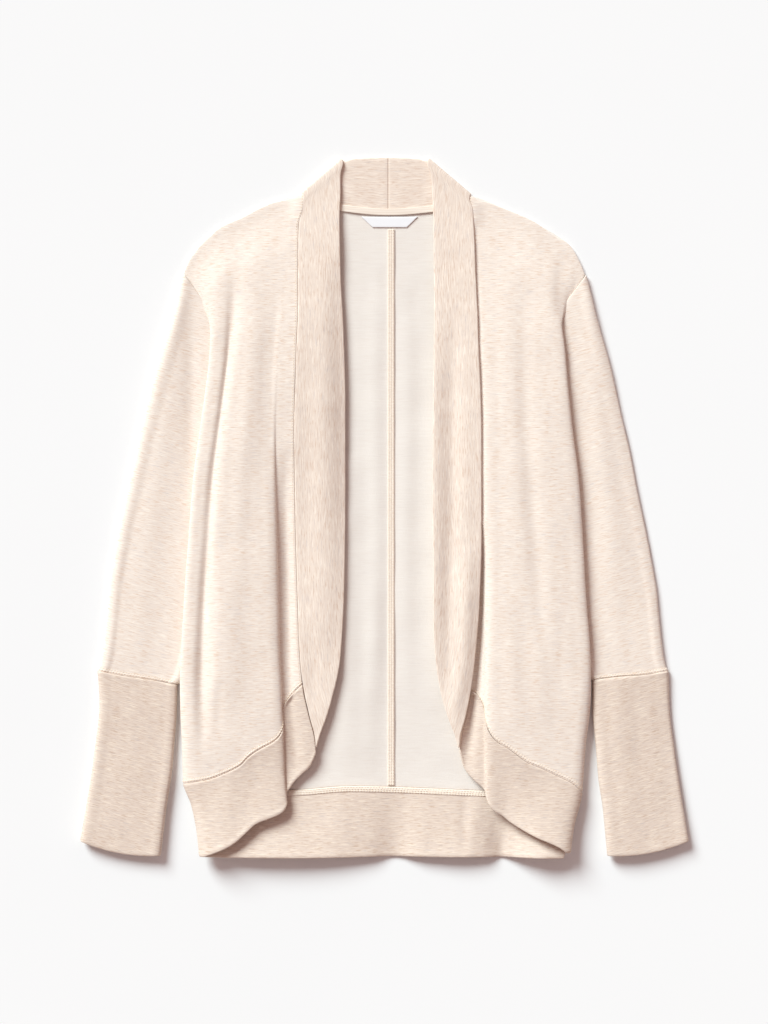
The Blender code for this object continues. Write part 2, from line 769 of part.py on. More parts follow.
def label_grid():
    height = CLOTH + LEVEL_GAP + TRIM / 2
    grid = []
    for i in range(LABEL_ROWS + 1):
        start, end, y = (mix(a, b, i / LABEL_ROWS) for a, b in zip(LABEL_TOP, LABEL_END))
        places = [mix(start, end, j / LABEL_COLUMNS) for j in range(LABEL_COLUMNS + 1)]
        grid.append([(x, y, height) for x in places])
    return grid


def cloth_material(name, colour):
    material = bpy.data.materials.new(name)
    material.use_nodes = True
    shader = material.node_tree.nodes["Principled BSDF"]
    shader.inputs["Base Color"].default_value = colour
    shader.inputs["Roughness"].default_value = 0.9
    shader.inputs["Metallic"].default_value = 0.0
    return material


def across_cloth(lines, row, column, closed, turns):
    """The direction through the cloth at one point of its middle surface.

    Panels that meet at a seam across the garment keep their edges level there, so only a piece
    that turns over has a direction with a part along y.
    """
    line = lines[row]
    count = len(line)
    if closed:
        before, after = line[column - 1], line[(column + 1) % count]
    else:
        before, after = line[max(column - 1, 0)], line[min(column + 1, count - 1)]
    above, below = lines[max(row - 1, 0)][column], lines[min(row + 1, len(lines) - 1)][column]
    direction = (Vector(after) - Vector(before)).cross(Vector(above) - Vector(below))
    if not turns:
        direction.y = 0.0
    return direction.normalized()


SHARP_ANGLE = math.radians(60)


def cloth_object(name, lines, wall, colour, closed=False, turns=False):
    """A wall of cloth round a middle surface given as lines of points; closed makes a tube."""
    shape = bmesh.new()
    faces = []
    for half in (wall / 2, -wall / 2):
        rows = []
        for row, line in enumerate(lines):
            rows.append([])
            for column, point in enumerate(line):
                moved = Vector(point) + half * across_cloth(lines, row, column, closed, turns)
                rows[-1].append(shape.verts.new(moved * MM))
        faces.append(rows)
    outer, inner = faces
    count = len(lines[0])
    steps = count if closed else count - 1
    for row in range(len(lines) - 1):
        for i in range(steps):
            j = (i + 1) % count
            for rows in faces:
                shape.faces.new((rows[row][i], rows[row + 1][i], rows[row + 1][j], rows[row][j]))
    for row in (0, -1):
        for i in range(steps):
            j = (i + 1) % count
            shape.faces.new((outer[row][i], outer[row][j], inner[row][j], inner[row][i]))
    for column in () if closed else (0, -1):
        for row in range(len(lines) - 1):
            shape.faces.new(
                (outer[row][column], outer[row + 1][column], inner[row + 1][column], inner[row][column])
            )
    bmesh.ops.recalc_face_normals(shape, faces=shape.faces)
    bmesh.ops.triangulate(shape, faces=shape.faces)
    mesh = bpy.data.meshes.new(name)
    shape.to_mesh(mesh)
    shape.free()
    mesh.shade_smooth()
    mesh.set_sharp_from_angle(angle=SHARP_ANGLE)
    cloth = bpy.data.objects.new(name, mesh)
    bpy.context.collection.objects.link(cloth)
    mesh.materials.append(cloth_material(name + "_cloth", colour))
    return cloth


def build():
    for old in list(bpy.data.objects):
        bpy.data.objects.remove(old, do_unlink=True)
    for side in SIDES:
        cloth_object("back_" + side, back_grid(side), CLOTH, PALE_CREAM)
        cloth_object("front_" + side, front_grid(side), CLOTH, CREAM)
        cloth_object("sleeve_" + side, sleeve_rings(side), CLOTH, CREAM, closed=True)
        cloth_object("cuff_" + side, cuff_rings(side), DOUBLE, RIB_CREAM, closed=True)
        cloth_object("collar_" + side, collar_grid(side), DOUBLE, CREAM, turns=True)
        cloth_object("hem_band_front_" + side, front_hem_grid(side), DOUBLE, RIB_CREAM)
    cloth_object("hem_band_back", back_hem_grid(), DOUBLE, RIB_CREAM)
    cloth_object("centre_back_seam_tape", seam_tape_grid(), TRIM, TAPE_CREAM)
    cloth_object("back_neck_tape", neck_tape_grid(), TRIM, TAPE_CREAM)
    cloth_object("neck_label", label_grid(), TRIM, LABEL_WHITE)


build()
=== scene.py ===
"""Looks of the open-front cardigan laid flat: cloth shells on its solids' forms, with their folds,
seams, stitches and heather yarn, a pale floor, soft studio light and the camera.

Panels are worked out in millimetres and their meshes are in metres. Left and right are the
wearer's own, so the left side lies at +X. Tables give places on one side as distances outward.
"""
import math
from collections import namedtuple

import bpy
import numpy as np
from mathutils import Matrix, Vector


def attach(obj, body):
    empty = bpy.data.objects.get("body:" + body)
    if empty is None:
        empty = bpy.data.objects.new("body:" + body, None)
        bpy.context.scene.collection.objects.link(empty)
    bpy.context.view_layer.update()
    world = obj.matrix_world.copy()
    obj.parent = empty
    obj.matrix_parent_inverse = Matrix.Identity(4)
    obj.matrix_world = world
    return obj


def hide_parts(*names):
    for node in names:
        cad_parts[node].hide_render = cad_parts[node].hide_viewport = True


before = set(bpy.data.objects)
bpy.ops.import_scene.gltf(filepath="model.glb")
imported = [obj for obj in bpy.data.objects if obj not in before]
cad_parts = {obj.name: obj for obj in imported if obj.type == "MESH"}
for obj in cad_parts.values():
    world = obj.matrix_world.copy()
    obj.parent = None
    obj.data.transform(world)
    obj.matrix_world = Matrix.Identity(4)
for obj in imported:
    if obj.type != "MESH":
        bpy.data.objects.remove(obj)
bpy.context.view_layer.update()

MM = 0.001
SIDES = {"left": 1, "right": -1}

# Cloth: one layer in the body and sleeves, folded double in the collar, cuffs and hem bands.
CLOTH = 1.5
DOUBLE = 2.4
TRIM = 1.0
SEAM_GAP = 0.3
LEVEL_GAP = 0.3
# Each front and its hem band are drawn back from their seam by this much.
HEM_SEAM_GAP = 0.4

# Centre lines, which lie a little off x = 0 in the folded garment.
BACK_SEAM_X = 7.0
COLLAR_SEAM_X = 4.0

# The fold of each front over the sleeve: how far in from its edge the cloth starts to turn.
TURN_RUN = 14.0
TURN_BULGE = 1 / 6
TURN_LOW_SLOPE = 0.2
# The step from the low strip beside the collar up to the main part of the front.
STEP_BASE = 3.5
STEP_TOP = 14.0
STEP_UNDER = {"left": 4.0, "right": 8.0}
STEP_OVER = {"left": 5.0, "right": 12.0}
MIN_STRIP = 1.0
# The front climbs from its shoulder seam, where it lies on the back, over this length.
SHOULDER_CLIMB = 60.0

# The sleeve lies as a flat tube under the side of the body.
SLEEVE_HEIGHT = 6.2
CUFF_HEIGHT = 7.8
BACK_RISE = SLEEVE_HEIGHT + 0.4
RISE_RUN = 12.0
RISE_MARGIN = 3.0
RISE_CLEAR_OF_EDGE = 10.0
RISE_CLEAR_OF_NECK = 3.0
# Below this level each front laps on the back, and above it the front's edge joins the sleeve.
ARMHOLE_TURN_Y = 160.0
CUFF_LIFT = 3.5

# Hem: where the lift of the hem starts, and how far down it is measured.
LIFT_START = -262.0
# Where the front's sewn edge climbs onto the thicker back hem band, and over what length.
HEM_OVERLAP_Y = -278.0
HEM_OVERLAP_RUN = 15.0
HEM_BOTTOM = -368.0


class Table:
    """Rows of named columns, read at any place along the first column on a smooth curve."""

    def __init__(self, columns, *rows):
        self.names = columns.split()
        self.rows = sorted(rows)

    def read(self, name, place):
        column = self.names.index(name)
        keys = [row[0] for row in self.rows]
        values = [row[column] for row in self.rows]
        if place <= keys[0]:
            return values[0]
        if place >= keys[-1]:
            return values[-1]
        after = next(i for i, key in enumerate(keys) if key > place)
        before = after - 1
        span = keys[after] - keys[before]
        t = (place - keys[before]) / span
        start = slope(keys, values, before) * span
        end = slope(keys, values, after) * span
        return (
            (2 * t**3 - 3 * t**2 + 1) * values[before]
            + (t**3 - 2 * t**2 + t) * start
            + (3 * t**2 - 2 * t**3) * values[after]
            + (t**3 - t**2) * end
        )


def slope(keys, values, i):
    """The curve's slope at row i: flat at a peak or an end, so that it never overshoots."""
    if i in (0, len(keys) - 1):
        j = max(i, 1)
        return (values[j] - values[j - 1]) / (keys[j] - keys[j - 1])
    low = (values[i] - values[i - 1]) / (keys[i] - keys[i - 1])
    high = (values[i + 1] - values[i]) / (keys[i + 1] - keys[i])
    if low * high <= 0:
        return 0.0
    return 2 * low * high / (low + high)


# Outlines of the body, one row for each level from the shoulder to the hem. Distances outward:
# the seam with the collar, the step beside it, the fold at the side, and the front's sewn edge.
BODY = {
    "left": Table(
        "y seam step fold edge",
        (330, 92, 95, 184, 215),
        (278, 95, 98, 183, 213),
        (245, 96, 99, 182, 211),
        (225, 97, 100, 183, 200),
        (203, 98, 101, 184, 189),
        (171, 99, 102, 189, 180),
        (124, 101, 103.5, 193, 178),
        (81, 102, 104.5, 197.5, 185),
        (30, 102, 105, 204, 195),
        (-28, 102, 105, 208, 199),
        (-97, 100, 105, 212, 202),
        (-150, 96, 105, 216, 206),
        (-192, 91, 105.5, 217, 207),
        (-218, 86, 106, 215.5, 207),
        (-245, 79.5, 106, 212, 205),
        (-299, 77, 107, 207, 204.5),
        (-335, 77, 110, 198, 196),
        (-368, 77, 111, 193, 191),
    ),
    "right": Table(
        "y seam step fold edge",
        (332, 88, 100, 184, 215),
        (278, 91, 104, 183, 213),
        (247, 91, 106, 182, 211),
        (222, 91, 108, 182, 196.5),
        (207, 91, 109, 182, 188.5),
        (171, 92.5, 111.5, 183, 178),
        (124, 94, 114, 188, 177),
        (81, 95, 115, 194, 183),
        (30, 94.5, 114.5, 201, 192),
        (-28, 93.5, 113.5, 205.5, 197),
        (-97, 91.5, 112, 210.5, 201),
        (-150, 89.5, 111, 213.5, 204),
        (-187, 86, 109, 215, 205),
        (-216, 80, 108, 214.5, 205),
        (-245, 73, 107, 213, 205),
        (-291, 70, 105, 211, 208),
        (-306, 70, 103.5, 204, 202),
        (-335, 70, 103, 197, 195),
        (-366, 70, 103, 193, 191),
    ),
}

# Heights of the middle of the front's cloth at each level: on the strip beside the collar, at the
# top of the step, half-way across and at the side fold.
HEIGHTS = Table(
    "y seam crest middle side",
    (332, 5.0, 5.0, 5.0, 5.0),
    (278, 5.8, 6.8, 7.0, 6.8),
    (225, 7.5, 10.0, 10.4, 10.4),
    (171, 8.6, 13.2, 14.0, 14.2),
    (30, 9.5, 16.5, 18.0, 17.5),
    (-150, 9.5, 17.0, 18.5, 17.0),
    (-245, 9.0, 15.5, 16.0, 15.5),
    (-300, 8.5, 13.5, 13.5, 13.5),
    (-368, 7.0, 12.0, 12.0, 12.0),
)

# The middle of the front's cloth at its sewn edge beside the armhole, before it laps on the back.
ARMHOLE_EDGE = Table("y height", (235, 4.5), (222, 5.45), (212, 6.0), (200, 7.6), (185, 8.6), (171, 9.1))

# How far the step beside the collar has formed at each level: on the right front it is only a
# soft trough above the waist.
STEP_SHARE = {
    "left": Table("y share", (330, 0.0), (225, 0.3), (81, 0.35), (-28, 0.45), (-97, 0.75), (-150, 1.0)),
    "right": Table("y share", (250, 0.0), (171, 0.1), (102, 0.3), (30, 0.65), (-40, 1.0)),
}

# The long soft trough down the right front, beside its side fold.
GROOVE = Table(
    "y across depth",
    (276, 152, 0.0),
    (198, 159, 2.0),
    (151, 166, 3.0),
    (81, 177, 4.0),
    (16, 184, 4.5),
    (-34, 188, 4.5),
    (-163, 190, 4.0),
    (-223, 192, 2.0),
    (-260, 193, 0.0),
)
GROOVE_WIDTH = 7.0

SHOULDER = {
    "left": Table(
        "across y", (92, 327.5), (120, 317), (155, 302), (180, 285), (192, 279), (200, 269), (206, 257),
        (211, 245),
    ),
    "right": Table(
        "across y", (88, 329.5), (107, 324), (129, 316), (150, 305), (172, 295), (184, 285), (197, 272),
        (206, 259), (211, 247),
    ),
}

# The seam of each front with its hem band, and the band's free edge: on the main part of the
# front, and on the strip beside the collar, where the step hides a short length of both.
HEM_SEAM = {
    "left": Table(
        "across y", (106, -231), (111, -242), (124, -249), (137, -258), (149, -267), (163, -273),
        (180, -281), (198, -290), (207, -299),
    ),
    "right": Table(
        "across y", (106, -243), (110, -244), (128, -252), (142, -261), (152, -271), (170, -280),
        (187, -286), (211, -290),
    ),
}
HEM_SEAM_STRIP = {
    "left": Table("across y", (91, -192), (100, -200), (104, -208)),
    "right": Table("across y", (87, -186), (104, -205), (106, -208)),
}
HEM_EDGE = {
    "left": Table(
        "across y", (108, -301), (114, -311), (122, -322), (135, -332), (156, -344), (183, -356),
        (191, -362),
    ),
    "right": Table(
        "across y", (103, -310), (112, -322), (135, -332), (145, -341), (159, -353), (173, -360),
        (189, -366),
    ),
}
HEM_EDGE_STRIP = {
    "left": Table("across y", (78, -252), (82, -271), (93, -285), (106, -297)),
    "right": Table("across y", (71, -257), (78, -272), (92, -285), (103, -300)),
}

# The back: its neckline, its hem seam, and the line under it where the tucked sleeve begins.
NECKLINE = Table("x y", (-88, 329.5), (-46, 317), (4, 312.5), (50, 316), (92, 327.5))
NECK_POINT = {"left": (92, 327.5), "right": (88, 329.5)}
BACK_HEM_SEAM = Table(
    "x y", (-211, -291), (-97, -297), (-36, -293), (11, -294), (107, -298), (207, -300)
)
BACK_HEM_EDGE = Table("x y", (-191, -367), (-80, -368), (0, -367), (190, -368))
BACK_HEM_SIDE = Table(
    "y left right", (-368, 188, 191), (-335, 196, 196), (-299, 204.5, 206), (-290, 205, 208)
)
SLEEVE_UNDER = {
    "left": Table(
        "y across", (250, 240), (228, 216), (203, 196), (186, 187), (171, 178), (145, 170), (113, 156),
        (29, 126), (-28, 150), (-97, 179), (-183, 216), (-250, 228),
    ),
    "right": Table(
        "y across", (250, 240), (228, 214), (203, 195), (186, 187), (171, 178), (145, 170), (113, 156),
        (29, 126), (-28, 149), (-97, 178), (-187, 215), (-250, 226),
    ),
}

# How far the hem stands off the floor at its lower edge, across the garment from right to left.
HEM_LIFT = Table(
    "x lift",
    (-200, 7), (-165, 13), (-120, 15), (-70, 13), (-20, 8), (11, 0), (37, 8), (75, 11), (104, 8),
    (123, 0), (140, 9), (165, 18), (195, 12),
)

# The last stop along each of the sleeve's and cuff's edges in the tables below, and the share of
# the sleeve over which its rings take the curve of the armhole and of the cuff seam.
OUTER_STOPS = 20
ARMHOLE_STOPS = 9
CUFF_SEAM_STOPS = 3
CUFF_STOPS = 5
ARMHOLE_REACH = 0.31
CUFF_SEAM_REACH = 0.2

# Sleeves: outer edge from the shoulder to the cuff seam, and the armhole seam to the hidden
# underarm fold. Cuffs: outer and inner edges from the seam to the open end.
SLEEVE_OUTER = {
    "left": Table(
        "along across y", (0, 211.5, 244), (1, 217, 228), (3, 227, 186), (5, 239, 144), (7, 248, 102),
        (9, 258, 60), (11, 266, 18), (13, 275, -24), (15, 283, -66), (17, 290, -108), (19, 296, -150),
        (20, 299, -172),
    ),
    "right": Table(
        "along across y", (0, 211.5, 246), (1, 215, 230), (3, 225, 190), (5, 236, 160), (7, 246, 123),
        (9, 256, 81), (11, 265, 39), (13, 275, -3), (15, 284, -50), (17, 292, -95), (19, 299, -140),
        (20, 303, -172),
    ),
}
ARMHOLE = {
    "left": Table(
        "along across y", (0, 211.5, 244), (1, 204, 234), (2, 196, 221), (3, 189, 206), (4, 183, 188),
        (5, 180.5, 171), (6, 172, 143), (7, 158, 113), (9, 127, 29),
    ),
    "right": Table(
        "along across y", (0, 211.5, 246), (1, 203, 235), (2, 195, 221), (3, 187, 206), (4, 182, 188),
        (5, 179, 171), (6, 171, 143), (7, 157, 113), (9, 127, 29),
    ),
}
CUFF_SEAM = {
    "left": Table("along across y", (0, 218, -181), (1, 232, -178), (2, 258, -176), (3, 299, -172)),
    "right": Table("along across y", (0, 217, -186), (1, 235, -181), (2, 257, -177), (3, 303, -172)),
}
CUFF_INNER = {
    "left": Table(
        "along across y", (0, 218.5, -182), (1, 219, -219), (2, 222, -250), (3, 225, -287),
        (4, 229, -313), (5, 234, -366),
    ),
    "right": Table(
        "along across y", (0, 217.5, -187), (1, 218.5, -219), (2, 221, -250), (3, 223, -275),
        (4, 229, -315), (5, 235, -366),
    ),
}
CUFF_OUTER = {
    "left": Table("along across y", (0, 299, -173), (1, 300, -208), (3, 306, -261), (5, 320, -351)),
    "right": Table("along across y", (0, 302, -173), (1, 300, -203), (3, 307, -271), (5, 320, -351)),
}
CUFF_END_BOW = 5.0

# The collar's free edge, from the shoulder fold down to the point, and its height.
COLLAR_FREE = {
    "left": Table(
        "y across", (368, 47), (333, 50), (311, 51), (218, 52), (113, 51), (8, 50), (-55, 51),
        (-124, 51), (-177, 56), (-206, 62), (-252, 79),
    ),
    "right": Table(
        "y across", (368, 46), (332, 46), (309, 47), (246, 46), (186, 43), (113, 41), (8, 41),
        (-77, 42), (-156, 46), (-208, 57), (-252, 72.5),
    ),
}
COLLAR_HEIGHTS = Table(
    "y free", (332, 6.5), (300, 7.5), (230, 9.5), (113, 12.0), (-80, 12.5), (-177, 11.0), (-246, 9.5)
)
COLLAR_TOP_Y = 368.0
COLLAR_TURNED_Y = 236.0
COLLAR_FOLD_RADIUS = 1.7
COLLAR_OVER_NECK = 2.5
# The left collar's seam edge lies on the front, and the right one's beside it.
COLLAR_OVER = {"left": 2.6, "right": 0.0}
COLLAR_BOW = 0.5
COLLAR_BOTTOM = -252.0
COLLAR_CLIMB = 60.0
COLLAR_POINT_WIDTH = 0.4
# Where the seam starts to curve towards the point, and the collar stands further off it.
COLLAR_CURVE_Y = -170.0
COLLAR_CURVE_RUN = 40.0


def smooth_step(t):
    t = min(max(t, 0.0), 1.0)
    return t * t * (3 - 2 * t)


def mix(a, b, t):
    return a + (b - a) * t


def bezier(points, t):
    """The point at t on the cubic curve with these four (across, height) points."""
    weights = ((1 - t) ** 3, 3 * t * (1 - t) ** 2, 3 * t * t * (1 - t), t**3)
    return tuple(sum(w * point[i] for w, point in zip(weights, points)) for i in range(2))


def seam_height(side, y):
    """The middle of the cloth at the collar's seam, lower than the front where the step has formed."""
    share = STEP_SHARE[side].read("share", y)
    return mix(HEIGHTS.read("crest", y), HEIGHTS.read("seam", y), share)


def hem_lift(x, y):
    """How far the hem waves lift the body's cloth off the floor."""
    reach = (LIFT_START - y) / (LIFT_START - HEM_BOTTOM)
    return HEM_LIFT.read("lift", x) * max(reach, 0.0) ** 2


def back_height(side, across, y):
    """The middle of the back's cloth: on the floor, and up over the tucked sleeve."""
    start = SLEEVE_UNDER[side].read("across", y) - RISE_MARGIN - RISE_RUN
    return CLOTH / 2 + BACK_RISE * smooth_step((across - start) / RISE_RUN)


def edge_height(side, y):
    """The middle of the front's cloth at its sewn edge, from the armhole to the hem."""
    lapped = back_height(side, BODY[side].read("edge", y), y) + CLOTH + LEVEL_GAP
    on_hem_band = (DOUBLE - CLOTH) * smooth_step((HEM_OVERLAP_Y - y) / HEM_OVERLAP_RUN)
    if y < ARMHOLE_TURN_Y:
        return lapped + on_hem_band
    return max(ARMHOLE_EDGE.read("height", y), lapped)


Section = namedtuple("Section", "points strip_end crest")


def front_section(side, y, strip_columns, step_columns, main_columns, turn_columns):
    """(across, height) points over one front at one level, from the collar seam to the side."""
    body = BODY[side]
    seam, step, fold, edge = (body.read(name, y) for name in ("seam", "step", "fold", "edge"))
    crest, middle, top = (HEIGHTS.read(name, y) for name in ("crest", "middle", "side"))
    low = seam_height(side, y)
    share = STEP_SHARE[side].read("share", y)
    fold -= CLOTH / 2
    step_start = max(step - STEP_BASE, seam + MIN_STRIP)
    step_end = step + STEP_TOP
    turn_start = fold - TURN_RUN
    points = [
        (mix(seam + SEAM_GAP / 2, step_start, i / strip_columns), low) for i in range(strip_columns)
    ]
    under, over = step + share * STEP_UNDER[side], step - share * STEP_OVER[side]
    step_curve = ((step_start, low), (under, low), (over, crest), (step_end, crest))
    points += [bezier(step_curve, i / step_columns) for i in range(step_columns)]
    for i in range(main_columns):
        t = i / main_columns
        across = mix(step_end, turn_start, t)
        height = mix(crest, top, t) + 4 * t * (1 - t) * (middle - (crest + top) / 2)
        if side == "right":
            from_groove = (across - GROOVE.read("across", y)) / GROOVE_WIDTH
            height -= GROOVE.read("depth", y) * math.exp(-from_groove**2)
        points.append((across, height))
    low_edge = edge_height(side, y)
    tucked = max(fold - edge, 0.0)
    bulge = fold + (TURN_RUN + tucked) * TURN_BULGE
    low_bulge = max(bulge, mix(bulge, edge, 0.5))
    turn_low = mix(low_edge, top, TURN_LOW_SLOPE)
    turn_curve = ((turn_start, top), (bulge, top), (low_bulge, turn_low), (edge, low_edge))
    points += [bezier(turn_curve, i / turn_columns) for i in range(turn_columns + 1)]
    return Section(points, strip_columns, strip_columns + step_columns)


# How finely the middle surfaces are first worked out: columns over the strip, the step, the main
# part and the turn of a front, and rows down each panel.
FRONT_COLUMNS = (4, 14, 10, 10)
FRONT_ROWS = 42
FRONT_HEM_ROWS = 8
BACK_ROWS = 40
NECK_COLUMNS = 5
BACK_HEM_ROWS = 6
BACK_HEM_COLUMNS = 40
COLLAR_COLUMNS = 8
COLLAR_TURN_LINES = 8
COLLAR_DOWN_LINES = 40
SLEEVE_RINGS = 24
CUFF_RINGS = 10
# Passes that find where a column, which slants, meets an edge of its panel.
PASSES = 8
# Levels near the upper and lower ends of the columns, where those passes start.
NEAR_SHOULDER = 290.0
NEAR_HEM_SEAM = -250.0
NEAR_HEM_EDGE = -330.0
NEAR_BACK_HEM = -295.0


def level_on(side, column, curve, start):
    """The level at which one column of a front meets a curve of level over distance outward."""
    y = start
    for _ in range(PASSES):
        across = front_section(side, y, *FRONT_COLUMNS).points[column][0]
        y = curve.read("y", across)
    return y


def column_ends(side, strip_curve, main_curve, start):
    """Each column's level where it meets a line across the strip, the step and the main part."""
    section = front_section(side, start, *FRONT_COLUMNS)
    strip_end, crest, count = section.strip_end, section.crest, len(section.points)
    levels = []
    for column in range(count):
        curve = strip_curve if column <= strip_end else main_curve
        levels.append(level_on(side, column, curve, start))
    for column in range(strip_end, crest):
        t = (column - strip_end) / (crest - strip_end)
        levels[column] = mix(levels[strip_end], levels[crest], t)
    return levels


def draw_in(line, inner, distance):
    """Moves an end line of a panel into the panel, square to the line, to part it from a seam."""
    moved = []
    for i, point in enumerate(line):
        along = Vector(line[min(i + 1, len(line) - 1)]) - Vector(line[max(i - 1, 0)])
        along.normalize()
        inward = Vector(inner[i]) - Vector(point)
        inward -= inward.dot(along) * along
        moved.append(tuple(Vector(point) + distance * inward.normalized()))
    return moved


def front_grid(side):
    """The front's middle surface: rows from the shoulder down to the hem seam."""
    tops = column_ends(side, SHOULDER[side], SHOULDER[side], NEAR_SHOULDER)
    ends = column_ends(side, HEM_SEAM_STRIP[side], HEM_SEAM[side], NEAR_HEM_SEAM)
    on_back = CLOTH * 1.5 + LEVEL_GAP
    grid = []
    for row in range(FRONT_ROWS + 1):
        t = row / FRONT_ROWS
        line = []
        for column, (top, end) in enumerate(zip(tops, ends)):
            y = mix(top, end, t)
            across, height = front_section(side, y, *FRONT_COLUMNS).points[column]
            height = mix(on_back, height, smooth_step((top - y) / SHOULDER_CLIMB))
            x = SIDES[side] * across
            line.append((x, y, height + hem_lift(x, y)))
        grid.append(line)
    grid[-1] = draw_in(grid[-1], grid[-2], HEM_SEAM_GAP)
    return grid


def front_hem_grid(side):
    """The hem band under one front: rows from its seam down to its free edge."""
    starts = column_ends(side, HEM_SEAM_STRIP[side], HEM_SEAM[side], NEAR_HEM_SEAM)
    ends = column_ends(side, HEM_EDGE_STRIP[side], HEM_EDGE[side], NEAR_HEM_EDGE)
    grid = []
    for row in range(FRONT_HEM_ROWS + 1):
        t = row / FRONT_HEM_ROWS
        line = []
        for column, (start, end) in enumerate(zip(starts, ends)):
            y = mix(start, end, t)
            across, height = front_section(side, y, *FRONT_COLUMNS).points[column]
            height = max(height + (DOUBLE - CLOTH) / 2, DOUBLE * 1.5 + LEVEL_GAP)
            x = SIDES[side] * across
            line.append((x, y, height + hem_lift(x, y)))
        grid.append(line)
    grid[0] = draw_in(grid[0], grid[1], HEM_SEAM_GAP)
    return grid


def back_top(side, x):
    """The level of the back's top edge: the neckline, then the shoulder."""
    across = x * SIDES[side]
    if across < NECK_POINT[side][0]:
        return NECKLINE.read("y", x) - SEAM_GAP
    return SHOULDER[side].read("y", across)


def back_columns(side, y):
    """Distances outward of the back's columns at one level, close together over the rise."""
    seam = BACK_SEAM_X * SIDES[side] + SEAM_GAP / 2
    neck = NECK_POINT[side][0]
    edge = BODY[side].read("edge", y)
    under = SLEEVE_UNDER[side].read("across", y) - RISE_MARGIN
    rise_end = min(under, edge - RISE_CLEAR_OF_EDGE)
    rise_start = max(rise_end - RISE_RUN, neck + RISE_CLEAR_OF_NECK)
    stops = ((seam, NECK_COLUMNS), (neck, 3), (rise_start, 4), (rise_end, 4), (edge, 0))
    places = []
    for (start, count), (end, _) in zip(stops, stops[1:]):
        places += [mix(start, end, i / count) for i in range(count)]
    return places + [edge]


def back_grid(side):
    """The back half's middle surface, flat on the floor but for the sleeve and the hem."""
    sign = SIDES[side]
    near_hem = back_columns(side, NEAR_BACK_HEM)
    tops = []
    for column in range(len(near_hem)):
        y = NEAR_SHOULDER
        for _ in range(PASSES):
            y = back_top(side, sign * back_columns(side, y)[column])
        tops.append(y)
    ends = [BACK_HEM_SEAM.read("y", sign * across) + SEAM_GAP / 2 for across in near_hem]
    grid = []
    for row in range(BACK_ROWS + 1):
        t = row / BACK_ROWS
        line = []
        for column, (top, end) in enumerate(zip(tops, ends)):
            y = mix(top, end, t)
            across = back_columns(side, y)[column]
            x = sign * across
            line.append((x, y, back_height(side, across, y) + hem_lift(x, y)))
        grid.append(line)
    return grid


def back_hem_grid():
    """The back hem band, from side to side."""
    grid = []
    for row in range(BACK_HEM_ROWS + 1):
        t = row / BACK_HEM_ROWS
        line = []
        for column in range(BACK_HEM_COLUMNS + 1):
            s = column / BACK_HEM_COLUMNS
            y = mix(NEAR_BACK_HEM, HEM_BOTTOM, t)
            x = mix(-BACK_HEM_SIDE.read("right", y), BACK_HEM_SIDE.read("left", y), s)
            y = mix(BACK_HEM_SEAM.read("y", x) - SEAM_GAP / 2, BACK_HEM_EDGE.read("y", x), t)
            line.append((x, y, DOUBLE / 2 + hem_lift(x, y)))
        grid.append(line)
    return grid


def collar_lines(side):
    """Lines across the collar from its seam to its free edge, from the centre back to the point.

    Each is a pair of (x, y, height) points. The band lies flat behind the neck, turns over at
    the shoulder fold and runs down the front.
    """
    sign = SIDES[side]
    thick = DOUBLE / 2
    neck_x, neck_y = NECK_POINT[side]
    neck_y += COLLAR_OVER_NECK
    corner_x = COLLAR_FREE[side].read("across", COLLAR_TOP_Y)
    run_x, run_y = neck_x - corner_x, neck_y - COLLAR_TOP_Y
    length = math.hypot(run_x, run_y)
    out_x, out_y = -run_y / length, run_x / length
    seam_x = neck_x - SEAM_GAP
    centre = COLLAR_SEAM_X * sign + SEAM_GAP / 2
    radius = COLLAR_FOLD_RADIUS
    lines = []

    places = back_columns(side, neck_y)[:NECK_COLUMNS]
    for i, seam_across in enumerate(places):
        t = i / NECK_COLUMNS
        if i == 0:
            seam_across = centre
        free_across = mix(centre, corner_x - out_x * (radius + thick), t)
        seam_y = NECKLINE.read("y", seam_across * sign) + SEAM_GAP
        free_y = COLLAR_TOP_Y + COLLAR_BOW * (1 - t)
        free_y = mix(free_y, COLLAR_TOP_Y - out_y * (radius + thick), t**3)
        lines.append(((seam_across, seam_y, thick), (free_across, free_y, thick)))

    for i in range(COLLAR_TURN_LINES + 1):
        angle = math.pi * i / COLLAR_TURN_LINES
        out = radius * math.sin(angle) - radius - thick
        height = thick + radius * (1 - math.cos(angle))
        ends = []
        for across, y in ((seam_x, neck_y), (corner_x, COLLAR_TOP_Y)):
            ends.append((across + out_x * out, y + out_y * out, height))
        lines.append(tuple(ends))

    fold_height = thick + 2 * radius
    body = BODY[side]
    for i in range(1, COLLAR_DOWN_LINES + 1):
        level = mix(neck_y, COLLAR_BOTTOM, i / COLLAR_DOWN_LINES)
        turned = smooth_step((neck_y - level) / (neck_y - COLLAR_TURNED_Y))
        free_y = level + (COLLAR_TOP_Y - neck_y) * (1 - turned)
        risen = smooth_step((neck_y - level) / COLLAR_CLIMB)
        sewn_height = mix(fold_height, seam_height(side, level) + COLLAR_OVER[side], risen)
        free_height = mix(fold_height, COLLAR_HEIGHTS.read("free", free_y), risen)
        curving = smooth_step((COLLAR_CURVE_Y - level) / COLLAR_CURVE_RUN)
        seam_across = body.read("seam", level) - SEAM_GAP * (1 + curving)
        free_across = min(COLLAR_FREE[side].read("across", free_y), seam_across - COLLAR_POINT_WIDTH)
        lines.append(((seam_across, level, sewn_height), (free_across, free_y, free_height)))
    return lines


def collar_grid(side):
    """The collar half's middle surface."""
    grid = []
    for seam, free in collar_lines(side):
        line = []
        for column in range(COLLAR_COLUMNS + 1):
            t = column / COLLAR_COLUMNS
            across, y, height = (mix(a, b, t) for a, b in zip(seam, free))
            line.append((SIDES[side] * across, y, height))
        grid.append(line)
    return grid


